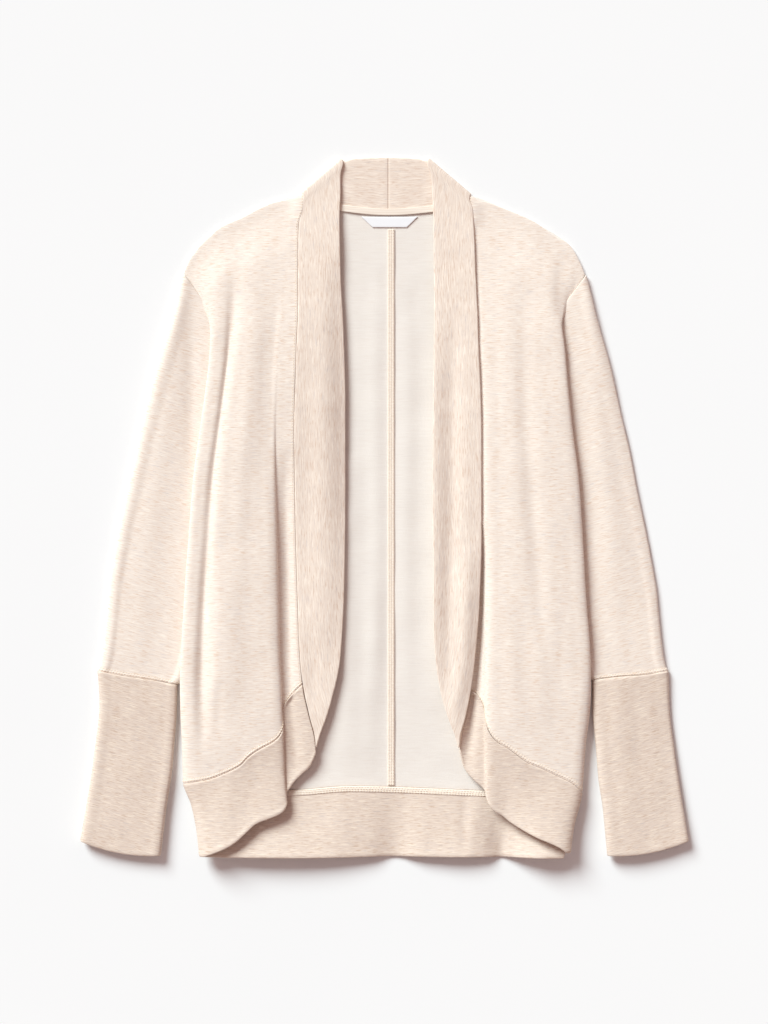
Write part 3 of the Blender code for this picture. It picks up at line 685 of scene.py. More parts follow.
# A tube's folded edges: how far in from the fold, and how far up, its first point lies, as shares
# of the fold's radius.
NEAR_FOLD = 0.3
NEAR_FOLD_RISE = 0.7
# Stops across a tube's flat face.
FLAT_STOPS = 8
# How far the sleeve's upper layer goes in under the front, below this level of the armhole.
TUCK = 4.5
TUCK_TOP_Y = 226.0
TUCK_RUN = 18.0


def flat_ring(start, end, bow, wall, height, lift):
    """A loop round a flattened tube from its inner edge to its outer edge.

    bow gives how far the line between them departs from straight at each fraction of its length.
    """
    radius = (height - wall) / 2
    width = math.dist(start, end)
    round_off = radius / width
    near = NEAR_FOLD * round_off
    flat = [mix(round_off, 1 - round_off, i / FLAT_STOPS) for i in range(FLAT_STOPS + 1)]
    stops = [near] + flat + [1 - near]
    rises = [NEAR_FOLD_RISE] + [1.0] * len(flat) + [NEAR_FOLD_RISE]
    upper = [(0.0, 0.0)] + list(zip(stops, rises)) + [(1.0, 0.0)]
    lower = [(t, -rise) for t, rise in zip(stops[::-1], rises[::-1])]
    middle = wall / 2 + radius + lift
    loop = []
    for t, rise in upper + lower:
        bow_x, bow_y = bow(t)
        x, y = mix(start[0], end[0], t) + bow_x, mix(start[1], end[1], t) + bow_y
        loop.append((x, y, middle + rise * radius))
    return loop


def pair(table, along):
    return table.read("across", along), table.read("y", along)


def sleeve_rings(side):
    """Rings from the armhole to the cuff seam."""
    outer, armhole, seam = SLEEVE_OUTER[side], ARMHOLE[side], CUFF_SEAM[side]
    underarm = pair(armhole, ARMHOLE_STOPS)
    cuff_inner = pair(seam, 0)
    wall = CLOTH / 2
    loops = []
    for i in range(SLEEVE_RINGS + 1):
        t = i / SLEEVE_RINGS
        start = [mix(a, b, t) for a, b in zip(underarm, cuff_inner)]
        start[0] += wall
        end = list(pair(outer, OUTER_STOPS * t))
        end[0] -= wall

        def bow(w, t=t, start=start, end=end):
            upper = pair(armhole, ARMHOLE_STOPS * (1 - w))
            lower = pair(seam, CUFF_SEAM_STOPS * w)
            result = []
            for axis in range(2):
                straight = mix(start[axis], end[axis], w)
                top_bow = (upper[axis] - straight) * max(1 - t / ARMHOLE_REACH, 0.0) ** 2
                end_bow = (lower[axis] - straight) * max(1 - (1 - t) / CUFF_SEAM_REACH, 0.0)
                result.append(top_bow + axis * end_bow)
            tuck = TUCK * smooth_step((TUCK_TOP_Y - upper[1]) / TUCK_RUN)
            result[0] += SEAM_GAP * (1 - t) - tuck * max(1 - t / ARMHOLE_REACH, 0.0) ** 2
            result[1] += SEAM_GAP / 2 * t
            return result

        loops.append(flat_ring(start, end, bow, CLOTH, SLEEVE_HEIGHT, 0.0))
    return [[(SIDES[side] * x, y, z) for x, y, z in loop] for loop in loops]


def cuff_rings(side):
    """Rings from the cuff seam to the open end, which stands off the floor."""
    inner, outer, seam = CUFF_INNER[side], CUFF_OUTER[side], CUFF_SEAM[side]
    wall = DOUBLE / 2
    loops = []
    for i in range(CUFF_RINGS + 1):
        t = i / CUFF_RINGS
        start = list(pair(inner, CUFF_STOPS * t))
        start[0] += wall
        end = list(pair(outer, CUFF_STOPS * t))
        end[0] -= wall

        def bow(w, t=t, start=start, end=end):
            seam_bow = seam.read("y", CUFF_SEAM_STOPS * w) - mix(pair(inner, 0)[1], pair(outer, 0)[1], w)
            end_bow = -CUFF_END_BOW * 4 * w * (1 - w)
            return 0.0, mix(seam_bow - 2 * SEAM_GAP, end_bow, t)

        loops.append(flat_ring(start, end, bow, DOUBLE, CUFF_HEIGHT, CUFF_LIFT * t * t))
    return [[(SIDES[side] * x, y, z) for x, y, z in loop] for loop in loops]


def strip_grid(path, width, height):
    """A flat strip of one width along a path of (x, y) points, at heights from a function."""
    grid = []
    for i, (x, y) in enumerate(path):
        before = path[max(i - 1, 0)]
        after = path[min(i + 1, len(path) - 1)]
        run_x, run_y = after[0] - before[0], after[1] - before[1]
        length = math.hypot(run_x, run_y)
        side_x, side_y = -run_y / length * width / 2, run_x / length * width / 2
        level = height(x, y)
        grid.append([(x - side_x, y - side_y, level), (x + side_x, y + side_y, level)])
    return grid


# The strip over the centre-back seam, the tape over the neck seam, and the label below it.
SEAM_TAPE_WIDTH = 7.2
SEAM_TAPE_TOP = 293.0
SEAM_TAPE_END = -292.5
NECK_TAPE_WIDTH = 7.0
NECK_TAPE_REACH = {"left": 60.0, "right": -56.0}
NECK_TAPE_DROP = 1.5
SEAM_TAPE_ROWS = 20
NECK_TAPE_COLUMNS = 16
LABEL_ROWS = 3
LABEL_COLUMNS = 4
# The label's upper and lower edges, each from x to x at one y.
LABEL_TOP = (-24.5, 35.0, 306.2)
LABEL_END = (-12.5, 23.5, 295.0)


def seam_tape_grid():
    path = []
    for i in range(SEAM_TAPE_ROWS + 1):
        path.append((BACK_SEAM_X, mix(SEAM_TAPE_TOP, SEAM_TAPE_END, i / SEAM_TAPE_ROWS)))
    on_back = CLOTH + LEVEL_GAP + TRIM / 2
    return strip_grid(path, SEAM_TAPE_WIDTH, lambda x, y: on_back + hem_lift(x, y))


def neck_tape_grid():
    path = []
    for i in range(NECK_TAPE_COLUMNS + 1):
        x = mix(NECK_TAPE_REACH["right"], NECK_TAPE_REACH["left"], i / NECK_TAPE_COLUMNS)
        path.append((x, NECKLINE.read("y", x) - NECK_TAPE_DROP))
    return strip_grid(path, NECK_TAPE_WIDTH, lambda x, y: DOUBLE + LEVEL_GAP + TRIM / 2)


def label_grid():
    height = CLOTH + LEVEL_GAP + TRIM / 2
    grid = []
    for i in range(LABEL_ROWS + 1):
        start, end, y = (mix(a, b, i / LABEL_ROWS) for a, b in zip(LABEL_TOP, LABEL_END))
        places = [mix(start, end, j / LABEL_COLUMNS) for j in range(LABEL_COLUMNS + 1)]
        grid.append([(x, y, height) for x in places])
    return grid


# Folds laid in the cloth. Each row is one soft trough (a height below zero) or ridge: its
# half width, how much steeper it is on its right side, its height, and the points that it runs
# through, in millimetres on the floor plan.
Fold = namedtuple("Fold", "width lean height path")

# The deep valley where the left collar rolls down to its seam, and the one beside the right
# collar, which run over into the pieces sewn there.
LEFT_VALLEY = Fold(
    8, 0.0, -6.5, ((101, -20), (98, -108), (95, -160), (91, -218), (86, -262), (84, -290))
)
RIGHT_VALLEY = Fold(
    7, 0.0, -3.6, ((-103, 60), (-104, -20), (-103, -110), (-101, -190), (-96, -245), (-94, -285))
)

FOLDS = {
    "front_right": (
        RIGHT_VALLEY,
        Fold(9, 0.0, 2.2, ((-86, 346), (-88, 326), (-91, 294))),
        Fold(9, 0.3, -1.8, ((-164, 250), (-161, 206), (-168, 150), (-176, 100))),
        Fold(8, 0.2, -1.8, ((-172, 130), (-179, 90), (-189, 0), (-193, -100), (-193, -215))),
        Fold(10, 0.0, 1.2, ((-140, 250), (-138, 180), (-146, 90), (-152, 0), (-150, -90))),
        Fold(7, 0.3, -1.3, ((-112, 228), (-117, 170), (-120, 100), (-121, 20))),
        Fold(12, 0.0, 0.8, ((-128, 40), (-126, -60), (-130, -160))),
        Fold(6, 0.0, -0.8, ((-192, -150), (-190, -190), (-187, -226))),
        Fold(5, 0.0, -0.9, ((-173, -180), (-174, -208), (-173, -236))),
        Fold(14, 0.0, 1.0, ((-160, -40), (-164, -120), (-160, -200))),
        Fold(16, 0.0, -0.7, ((-136, -90), (-140, -150), (-138, -220))),
    ),
    "front_left": (
        LEFT_VALLEY,
        Fold(9, 0.0, 2.2, ((90, 346), (92, 326), (95, 294))),
        Fold(8, -0.3, -1.5, ((188, 268), (184, 236), (184, 196))),
        Fold(14, 0.0, 0.9, ((136, 262), (130, 190), (134, 110), (138, 30), (146, -80))),
        Fold(9, 0.0, -1.7, ((146, 230), (148, 102), (155, -3), (164, -108), (177, -213), (182, -260))),
        Fold(10, 0.2, -0.9, ((182, -110), (184, -180), (196, -240), (200, -276))),
        Fold(12, 0.0, 0.8, ((168, -60), (170, -140), (176, -220))),
        Fold(11, 0.0, -0.6, ((144, -60), (148, -140), (152, -210))),
        Fold(8, 0.0, 0.6, ((132, -120), (134, -180), (140, -232))),
    ),
    "sleeve_right": (
        Fold(8, 0.0, -2.2, ((-200, 226), (-202, 190), (-203, 130), (-204, 70), (-208, 0))),
        Fold(15, 0.0, 2.6, ((-214, 226), (-226, 140), (-236, 60), (-250, -40), (-262, -170))),
        Fold(16, 0.0, -0.5, ((-236, 60), (-250, -30), (-256, -120))),
        Fold(9, 0.0, 0.5, ((-270, -60), (-276, -110), (-280, -160))),
    ),
    "sleeve_left": (
        Fold(9, 0.0, -0.9, ((205, 190), (214, 110), (222, 20), (226, -60))),
        Fold(15, 0.0, 3.2, ((212, 226), (218, 150), (226, 60), (240, -30), (256, -172))),
        Fold(16, 0.0, -2.6, ((226, 226), (244, 150), (262, 60), (282, -30), (296, -172))),
        Fold(10, 0.0, -1.2, ((246, -40), (252, -100), (262, -168))),
        Fold(10, 0.0, 0.5, ((282, -60), (286, -120), (290, -165))),
    ),
    "cuff_right": (
        Fold(14, 0.0, 0.4, ((-262, -190), (-266, -250), (-276, -340))),
        Fold(10, 0.0, -0.4, ((-290, -200), (-294, -260), (-304, -330))),
        Fold(9, 0.0, -0.4, ((-238, -220), (-242, -280), (-250, -350))),
    ),
    "cuff_left": (
        Fold(16, 0.0, 2.4, ((238, -140), (246, -200), (248, -250), (256, -380))),
        Fold(14, 0.0, -2.0, ((296, -140), (298, -200), (302, -250), (314, -380))),
        Fold(10, 0.0, -0.4, ((288, -200), (292, -260), (302, -330))),
        Fold(9, 0.0, -0.4, ((238, -220), (244, -290), (250, -350))),
    ),
    "collar_right": (
        Fold(10, 0.0, 0.8, ((-62, 300), (-64, 200), (-66, 60), (-68, -80), (-72, -170))),
        Fold(12, 0.0, -0.7, ((-82, 150), (-82, 40), (-80, -70))),
        Fold(12, 0.0, -4.8, ((-45, 268), (-42, 150), (-40, 20), (-41, -90), (-47, -170))),
        Fold(7, 0.0, -0.8, ((-80, -120), (-74, -170), (-76, -214))),
    ),
    "collar_left": (
        Fold(9, 0.0, 3.6, ((88, -40), (86, -108), (82, -170), (74, -216), (72, -246))),
        Fold(16, 0.0, 2.2, ((52, 230), (50, 120), (50, 0), (52, -110), (58, -190))),
        Fold(8, 0.2, -2.4, ((74, 210), (71, 100), (71, -3), (67, -108), (63, -200))),
        Fold(7, 0.0, 0.7, ((54, 150), (54, 40), (56, -80), (62, -170))),
        Fold(7, 0.0, 0.6, ((88, 180), (88, 60), (86, -60), (84, -140))),
    ),
    "back_right": (
        Fold(17, 0.0, 3.2, ((-42, 60), (-44, -60), (-40, -160), (-36, -240), (-34, -286))),
        Fold(12, 0.0, 1.8, ((-24, -40), (-12, -110), (-14, -200), (-16, -286))),
        Fold(9, 0.0, 1.2, ((-8, 260), (-10, 120), (-8, -40), (-10, -200))),
    ),
    "back_left": (
        Fold(10, 0.0, 1.3, ((22, 250), (24, 120), (22, -60), (24, -210))),
        Fold(15, 0.0, 1.6, ((62, 180), (58, 60), (62, -80), (60, -200))),
    ),
    "hem_band_front_right": (
        RIGHT_VALLEY,
        Fold(13, 0.0, -0.7, ((-136, -250), (-140, -300), (-150, -340))),
        Fold(12, 0.0, 0.7, ((-164, -268), (-166, -310), (-172, -352))),
        Fold(6, 0.0, -0.6, ((-92, -205), (-90, -240), (-93, -278))),
    ),
    "hem_band_front_left": (
        LEFT_VALLEY,
        Fold(12, 0.0, 0.6, ((138, -258), (142, -300), (148, -342))),
        Fold(11, 0.0, -0.6, ((160, -272), (166, -310), (170, -352))),
        Fold(7, 0.0, -1.0, ((92, -200), (90, -236), (92, -276))),
    ),
    "hem_band_back": (
        Fold(8, 0.0, 1.2, ((96, -302), (94, -330), (91, -366))),
        Fold(5, 0.0, -1.0, ((86, -302), (84, -330), (84, -366))),
        Fold(16, 0.0, 1.2, ((-46, -302), (-48, -334), (-44, -366))),
        Fold(14, 0.0, 0.8, ((38, -302), (40, -334), (42, -366))),
    ),
}

# Slow unevenness of the laid cloth, and the fine puckers beside its sewn edges.
DRAPE_HEIGHT = 0.28
DRAPE_SIZE = 62.0
PUCKER_HEIGHT = 0.1
PUCKER_SIZE = 10.0
PUCKER_REACH = 9.0


def wander(x, y, size, seed):
    """An even, wave-like unevenness between about -1 and 1, with features of about this size."""
    total = np.zeros_like(x)
    for i in range(6):
        turn = seed * 1.7 + i * 2.399
        pace = 2 * math.pi / (size * (0.75 + 0.13 * i))
        total += np.sin((x * math.cos(turn) + y * math.sin(turn)) * pace + seed * 3.1 + i * 1.3)
    return total / 3.5


def along_path(path, samples=24):
    """Points spaced along a smooth curve through a fold's points."""
    points = np.array(path, float)
    if len(points) < 3:
        return np.linspace(points[0], points[-1], samples)
    length = np.linalg.norm(points[-1] - points[0])
    return refine(points[:, None, :], length / samples)[:, 0, :]


def relief(x, y, folds):
    """How far the folds raise the cloth at each place of the floor plan."""
    height = np.zeros_like(x)
    for fold in folds:
        line = along_path(fold.path)
        best = np.full(x.shape, 1e9)
        side = np.ones(x.shape)
        place = np.zeros(x.shape)
        for i, (a, b) in enumerate(zip(line, line[1:])):
            run_x, run_y = b - a
            square = run_x**2 + run_y**2
            t = np.clip(((x - a[0]) * run_x + (y - a[1]) * run_y) / square, 0.0, 1.0)
            off_x, off_y = x - a[0] - t * run_x, y - a[1] - t * run_y
            distance = np.hypot(off_x, off_y)
            nearer = distance < best
            best = np.where(nearer, distance, best)
            side = np.where(nearer, np.sign(off_x), side)
            place = np.where(nearer, (i + t) / (len(line) - 1), place)
        width = fold.width * (1 - fold.lean * side)
        ends = np.sin(math.pi * np.clip(place, 0.0, 1.0)) ** 0.6
        height += fold.height * ends * np.exp(-((best / width) ** 2))
    return height


def refine(points, spacing, closed=False):
    """Points about `spacing` apart along the first axis, on a smooth curve through those given."""
    before = points[-1:] if closed else 2 * points[:1] - points[1:2]
    after = points[:2] if closed else 2 * points[-1:] - points[-2:-1]
    steps = np.diff(np.concatenate([before, points, after]), axis=0)
    gaps = np.linalg.norm(steps, axis=-1).mean(axis=1)
    wide = gaps[:, None, None]
    slopes = steps / wide
    tangents = (slopes[:-1] * wide[1:] + slopes[1:] * wide[:-1]) / (wide[:-1] + wide[1:])
    lines = []
    for i in range(len(tangents) - 1):
        start = points[i]
        end = points[(i + 1) % len(points)]
        gap = gaps[i + 1]
        count = max(int(round(gap / spacing)), 1)
        for t in np.arange(count) / count:
            lines.append(
                (2 * t**3 - 3 * t**2 + 1) * start
                + (t**3 - 2 * t**2 + t) * gap * tangents[i]
                + (3 * t**2 - 2 * t**3) * end
                + (t**3 - t**2) * gap * tangents[i + 1]
            )
    if not closed:
        lines.append(points[-1])
    return np.array(lines)


# How a wall of cloth ends at an edge: distances in from it, the share of the wall's thickness at
# each, and how far the outer face rises there.
Finish = namedtuple("Finish", "stops thick rise")
ROUND = ((0.0, 0.0), (0.076, 0.383), (0.293, 0.707), (0.617, 0.924), (1.0, 1.0))


def finish(half, *rises):
    """A rounded edge, with a ridge or a stitched groove beside it from (distance, rise) pairs."""
    stops = [half * stop for stop, _ in ROUND] + [stop for stop, _ in rises]
    thick = [share for _, share in ROUND] + [1.0] * len(rises)
    rise = [0.0] * len(ROUND) + [height for _, height in rises]
    return Finish(np.array(stops), np.array(thick), np.array(rise))


# Edges in use: plain; a folded band's soft roll; the seam allowance pressed under a panel, with
# a stitched groove at its far side; and the narrow one beside the collar.
HALF, HALF_BAND, HALF_TRIM = CLOTH / 2, DOUBLE / 2, TRIM / 2
PLAIN = finish(HALF)
PLAIN_BAND = finish(HALF_BAND)
PLAIN_TRIM = finish(HALF_TRIM)
ROLL = finish(HALF_BAND, (2.0, 0.25), (3.4, 0.32), (5.0, 0.2), (7.5, 0.0))
PRESSED = finish(
    HALF, (1.3, 0.26), (2.2, 0.36), (3.2, 0.34), (3.9, 0.2), (4.4, -0.08), (4.9, 0.05), (6.0, 0.0)
)
PRESSED_NARROW = finish(HALF, (1.2, 0.14), (1.8, 0.16), (2.3, -0.05), (2.8, 0.04), (3.6, 0.0))
PRESSED_BAND = finish(HALF_BAND, (2.2, 0.14), (3.6, 0.0))


def ease(t):
    """smooth_step for an array."""
    t = np.clip(t, 0.0, 1.0)
    return t * t * (3 - 2 * t)


def under_collar(line):
    """The front goes in under the collar's fold at the shoulder."""
    return SEAM_GAP / 2 + TUCK * ease((line[:, 1] - 298) / 16)


def reach_out(points, first, last):
    """The lines along the first axis, with their end points moved out over a seam's gap."""
    points = points.copy()
    for end, inner, distance in ((0, 1, first), (-1, -2, last)):
        run = points[end] - points[inner]
        far = distance(points[end]) if callable(distance) else distance
        points[end] += np.reshape(far, (-1, 1)) * run / np.linalg.norm(run, axis=-1, keepdims=True)
    return points


def respace(points, first, last):
    """The points of each line along the first axis, drawn in to suit the finish of its ends."""
    steps = np.linalg.norm(np.diff(points, axis=0), axis=-1)
    lengths = np.concatenate([np.zeros((1, points.shape[1])), np.cumsum(steps, axis=0)])
    totals = lengths[-1]
    fit = np.minimum(1.0, 0.45 * totals / max(first.stops[-1], last.stops[-1]))
    near = np.outer(first.stops, fit)
    far = totals - np.outer(last.stops[::-1], fit)
    middle = near[-1] + lengths[1:-1] / totals * (far[0] - near[-1])
    places = np.concatenate([near, middle, far])
    result = np.empty(places.shape + (3,))
    for line in range(points.shape[1]):
        for axis in range(3):
            result[:, line, axis] = np.interp(places[:, line], lengths[:, line], points[:, line, axis])
    ones = np.ones(len(middle))
    thick = np.concatenate([first.thick, ones, last.thick[::-1]])
    rise = np.concatenate([first.rise, 0 * ones, last.rise[::-1]])
    return result, thick, rise


def directions(points, closed):
    """The direction through the cloth at each point, upward on a panel and outward on a tube."""
    if closed:
        across = np.roll(points, -1, axis=1) - np.roll(points, 1, axis=1)
    else:
        across = np.gradient(points, axis=1)
    normal = np.cross(across, np.gradient(points, axis=0))
    normal /= np.maximum(np.linalg.norm(normal, axis=-1, keepdims=True), 1e-9)
    return normal


Panel = namedtuple("Panel", "points normals half thick rise closed")
# Rows over which the unevenness comes in after the rows that stay still.
STILL_FADE = 6


def panel_of(grid, half, ends, sides=None, spacing=(4.0, 2.2), folds=(), seed=0.0, sewn=(),
             reach=(0.0, 0.0, 0.0, 0.0), still=0):
    """A panel with finished edges. ends are the first and last rows' finishes, and sides the
    first and last columns', or None for a tube. reach is how far its first and last rows and
    columns go out to meet the panels that they are sewn to, and still how many of its first
    rows stay as they are drawn."""
    closed = sides is None
    points = reach_out(refine(np.array(grid, float), spacing[0]), *reach[:2])
    columns = refine(points.swapaxes(0, 1), spacing[1], closed)
    rise = np.zeros(1)
    if closed:
        thick = np.ones(len(columns))
    else:
        columns, thick, rise = respace(reach_out(columns, *reach[2:]), sides[0], sides[1])
    points, row_thick, row_rise = respace(columns.swapaxes(0, 1), ends[0], ends[1])
    x, y, z = points[..., 0], points[..., 1], points[..., 2]
    lift = relief(x, y, folds) + DRAPE_HEIGHT * wander(x, y, DRAPE_SIZE, seed)
    from_end = {
        "start": np.linalg.norm(points - points[:1], axis=-1),
        "end": np.linalg.norm(points - points[-1:], axis=-1),
        "first": np.linalg.norm(points - points[:, :1], axis=-1),
        "last": np.linalg.norm(points - points[:, -1:], axis=-1),
    }
    for edge_name in sewn:
        fade = np.exp(-((from_end[edge_name] / PUCKER_REACH) ** 2))
        lift += PUCKER_HEIGHT * fade * wander(x, y, PUCKER_SIZE, seed + 5.0)
    above = np.ones_like(z)
    if closed:
        low, high = z.min(axis=1, keepdims=True), z.max(axis=1, keepdims=True)
        above = np.clip((z - (low + high) / 2) / ((high - low) / 2), 0.0, 1.0)
        lift *= above
    else:
        lift = np.maximum(lift, half - z)
    lift *= np.clip(np.arange(len(points)) - still, 0, STILL_FADE)[:, None] / STILL_FADE
    points = points.copy()
    points[..., 2] += lift
    normals = directions(points, closed)
    if closed:
        outward = points - points.mean(axis=1, keepdims=True)
        if (normals * outward).sum() < 0:
            normals = -normals
    elif normals[..., 2].sum() < 0:
        normals = -normals
    thickness = np.outer(row_thick, thick)
    raised = (row_rise[:, None] + rise[None, :]) * thickness * above
    return Panel(points, normals, half, thickness, raised, closed)


def cloth_places(panel, grain):
    """Distances over the cloth along and across its streaks, with a closing column on a tube.

    The streaks cross the grain, a direction on the floor plan, or run along the rows if it is
    None.
    """
    points = panel.points
    if panel.closed:
        points = np.concatenate([points, points[:, :1]], axis=1)
    across = np.linalg.norm(np.diff(points, axis=1), axis=-1)
    down = np.linalg.norm(np.diff(points, axis=0), axis=-1)
    across = np.concatenate([np.zeros((len(points), 1)), np.cumsum(across, axis=1)], axis=1)
    down = np.concatenate([np.zeros((1, points.shape[1])), np.cumsum(down, axis=0)])
    if grain is None:
        return down, across
    return across, points[..., 0] * grain[0] + points[..., 1] * grain[1]


def new_object(name, places, faces, corners, inside):
    """A mesh piece in metres from points in millimetres, with its places on the cloth and which
    of its points lie on the brushed inside."""
    used, index = np.unique(faces, return_inverse=True)
    faces = index.reshape(faces.shape)
    mesh = bpy.data.meshes.new(name)
    mesh.from_pydata((places[used] * MM).tolist(), [], faces.tolist())
    layer = mesh.uv_layers.new(name="cloth")
    layer.data.foreach_set("uv", (corners.reshape(-1, 2) * MM).astype(np.float32).ravel())
    brushed = mesh.attributes.new("inside", "FLOAT", "POINT")
    brushed.data.foreach_set("value", inside[used].astype(np.float32))
    mesh.shade_smooth()
    piece = bpy.data.objects.new(name, mesh)
    bpy.context.scene.collection.objects.link(piece)
    return piece


def shell(name, panel, grain, brushed_above=False, folded=False):
    """A closed thin shell round a panel's middle surface, with rounded edges."""
    rows, columns = panel.thick.shape
    half = (panel.half * panel.thick)[..., None]
    outer = panel.points + panel.normals * (half + panel.rise[..., None])
    inner = panel.points - panel.normals * half
    outer_index = np.arange(rows * columns).reshape(rows, columns)
    inner_index = np.where(panel.thick > 0, outer_index + rows * columns, outer_index)
    along, across = cloth_places(panel, grain)
    wrap = columns if panel.closed else columns - 1
    a_r, a_c = np.meshgrid(np.arange(rows - 1), np.arange(wrap), indexing="ij")
    b_c = (a_c + 1) % columns
    quads, corners = [], []
    for index, turned in ((outer_index, False), (inner_index, True)):
        ring = [(a_r, a_c, a_c), (a_r + 1, a_c, a_c), (a_r + 1, b_c, a_c + 1), (a_r, b_c, a_c + 1)]
        if turned:
            ring = ring[::-1]
        quads.append(np.stack([index[r, c] for r, c, _ in ring], axis=-1).reshape(-1, 4))
        spots = [np.stack([along[r, place], across[r, place]], axis=-1) for r, _, place in ring]
        corners.append(np.stack(spots, axis=2).reshape(-1, 4, 2))
    faces = np.concatenate(quads)
    corners = np.concatenate(corners)
    places = np.concatenate([outer.reshape(-1, 3), inner.reshape(-1, 3)])
    places[:, 2] = np.maximum(places[:, 2], 0.0)
    a, b, d = (places[quads[0][:, i]] for i in (0, 1, 3))
    facing = np.cross(b - a, d - a).reshape(rows - 1, wrap, 3)
    if (facing * panel.normals[:-1, :wrap]).sum() < 0:
        faces, corners = faces[:, ::-1], corners[:, ::-1]
    inside = np.concatenate([np.zeros(rows * columns), np.ones(rows * columns)])
    if brushed_above:
        inside = 1 - inside
    if folded:
        inside[:] = 0.0
    inside[: rows * columns][(panel.thick <= 0).ravel()] = 0.0 if folded else 0.5
    return new_object(name, places, faces, corners, inside)


# Sewing thread: stitches lie end to end along a seam as small beads, part sunk in the cloth.
STITCH_PITCH = 3.0
STITCH_LENGTH = 2.3
THREAD_HALF = 0.26
THREAD_SINK = 0.04
# A bead's sides, where its two rings and two tips lie along it, and how far its tips dip.
BEAD_SIDES = 5
BEAD_RINGS = (-0.3, 0.3)
BEAD_TIPS = (-0.5, 0.5)
TIP_DIP = 0.9


def stitch_run(points, normals):
    """(places, faces) of the stitches along a line of points, lying along the cloth's face."""
    steps = np.linalg.norm(np.diff(points, axis=0), axis=-1)
    lengths = np.concatenate([[0.0], np.cumsum(steps)])
    count = int(lengths[-1] / STITCH_PITCH)
    if count < 1:
        return np.zeros((0, 3)), []
    spots = (np.arange(count) + 0.5) * lengths[-1] / count

    def at(values, where):
        return np.stack([np.interp(where, lengths, values[:, k]) for k in range(3)], axis=-1)

    middle = at(points, spots)
    ahead = at(points, spots + 0.5) - at(points, spots - 0.5)
    ahead /= np.linalg.norm(ahead, axis=-1, keepdims=True)
    up = at(normals, spots)
    up -= (up * ahead).sum(-1, keepdims=True) * ahead
    up /= np.linalg.norm(up, axis=-1, keepdims=True)
    side = np.cross(ahead, up)
    middle = middle + up * (THREAD_HALF - THREAD_SINK)
    rings = []
    for shift in BEAD_RINGS:
        for turn in np.arange(BEAD_SIDES) * 2 * math.pi / BEAD_SIDES:
            out = THREAD_HALF * (math.cos(turn) * side + math.sin(turn) * up)
            rings.append(middle + ahead * STITCH_LENGTH * shift + out)
    dip = up * THREAD_HALF * TIP_DIP
    tips = [middle + ahead * STITCH_LENGTH * shift - dip for shift in BEAD_TIPS]
    beads = np.stack(rings + tips, axis=1)
    n = BEAD_SIDES
    shape = []
    for i in range(n):
        j = (i + 1) % n
        shape.append((i, n + i, n + j, j))
        shape.append((2 * n, i, j, j))
        shape.append((2 * n + 1, n + j, n + i, n + i))
    faces = []
    for bead in range(count):
        base = bead * beads.shape[1]
        for face in shape:
            faces.append([base + corner for corner in dict.fromkeys(face)])
    return beads.reshape(-1, 3), faces


def stitching(name, runs):
    """One piece of joined stitches along several (points, normals) runs."""
    places, faces = [], []
    base = 0
    for points, normals in runs:
        spots, shape = stitch_run(points, normals)
        faces += [[base + corner for corner in face] for face in shape]
        places.append(spots)
        base += len(spots)
    mesh = bpy.data.meshes.new(name)
    mesh.from_pydata((np.concatenate(places) * MM).tolist(), [], faces)
    mesh.shade_smooth()
    piece = bpy.data.objects.new(name, mesh)
    bpy.context.scene.collection.objects.link(piece)
    return piece


def line_down(panel, inset, from_first=True):
    """A line on the panel's face at a distance in from its first or last column."""
    return inset_line(panel.points.swapaxes(0, 1), panel.normals.swapaxes(0, 1),
                      (panel.rise + panel.half * panel.thick).T, inset, from_first)


def line_across(panel, inset, from_first=True):
    """A line on the panel's face at a distance in from its first or last row."""
    return inset_line(panel.points, panel.normals, panel.rise + panel.half * panel.thick,
                      inset, from_first)


def inset_line(points, normals, heights, inset, from_first):
    """The places and normals of a line at a distance in along the first axis."""
    if not from_first:
        points, normals, heights = points[::-1], normals[::-1], heights[::-1]
    steps = np.linalg.norm(np.diff(points, axis=0), axis=-1)
    lengths = np.concatenate([np.zeros((1, points.shape[1])), np.cumsum(steps, axis=0)])
    face = points + normals * heights[..., None]
    count = points.shape[1]
    lines = []
    for values in (face, normals):
        line = np.empty((count, 3))
        for i in range(count):
            for k in range(3):
                line[i, k] = np.interp(inset, lengths[:, i], values[:, i, k])
        lines.append(line)
    return lines


class Value:
    """A shader socket that adds its maths nodes when it is used in an expression."""

    def __init__(self, paint, socket):
        self.paint = paint
        self.socket = socket

    def maths(self, operation, *others):
        return self.paint.node("ShaderNodeMath", {"operation": operation}, *others)

    def __add__(self, other):
        return self.maths("ADD", self, other)

    def __sub__(self, other):
        return self.maths("SUBTRACT", self, other)

    def __mul__(self, other):
        return self.maths("MULTIPLY", self, other)

    __radd__ = __add__
    __rmul__ = __mul__


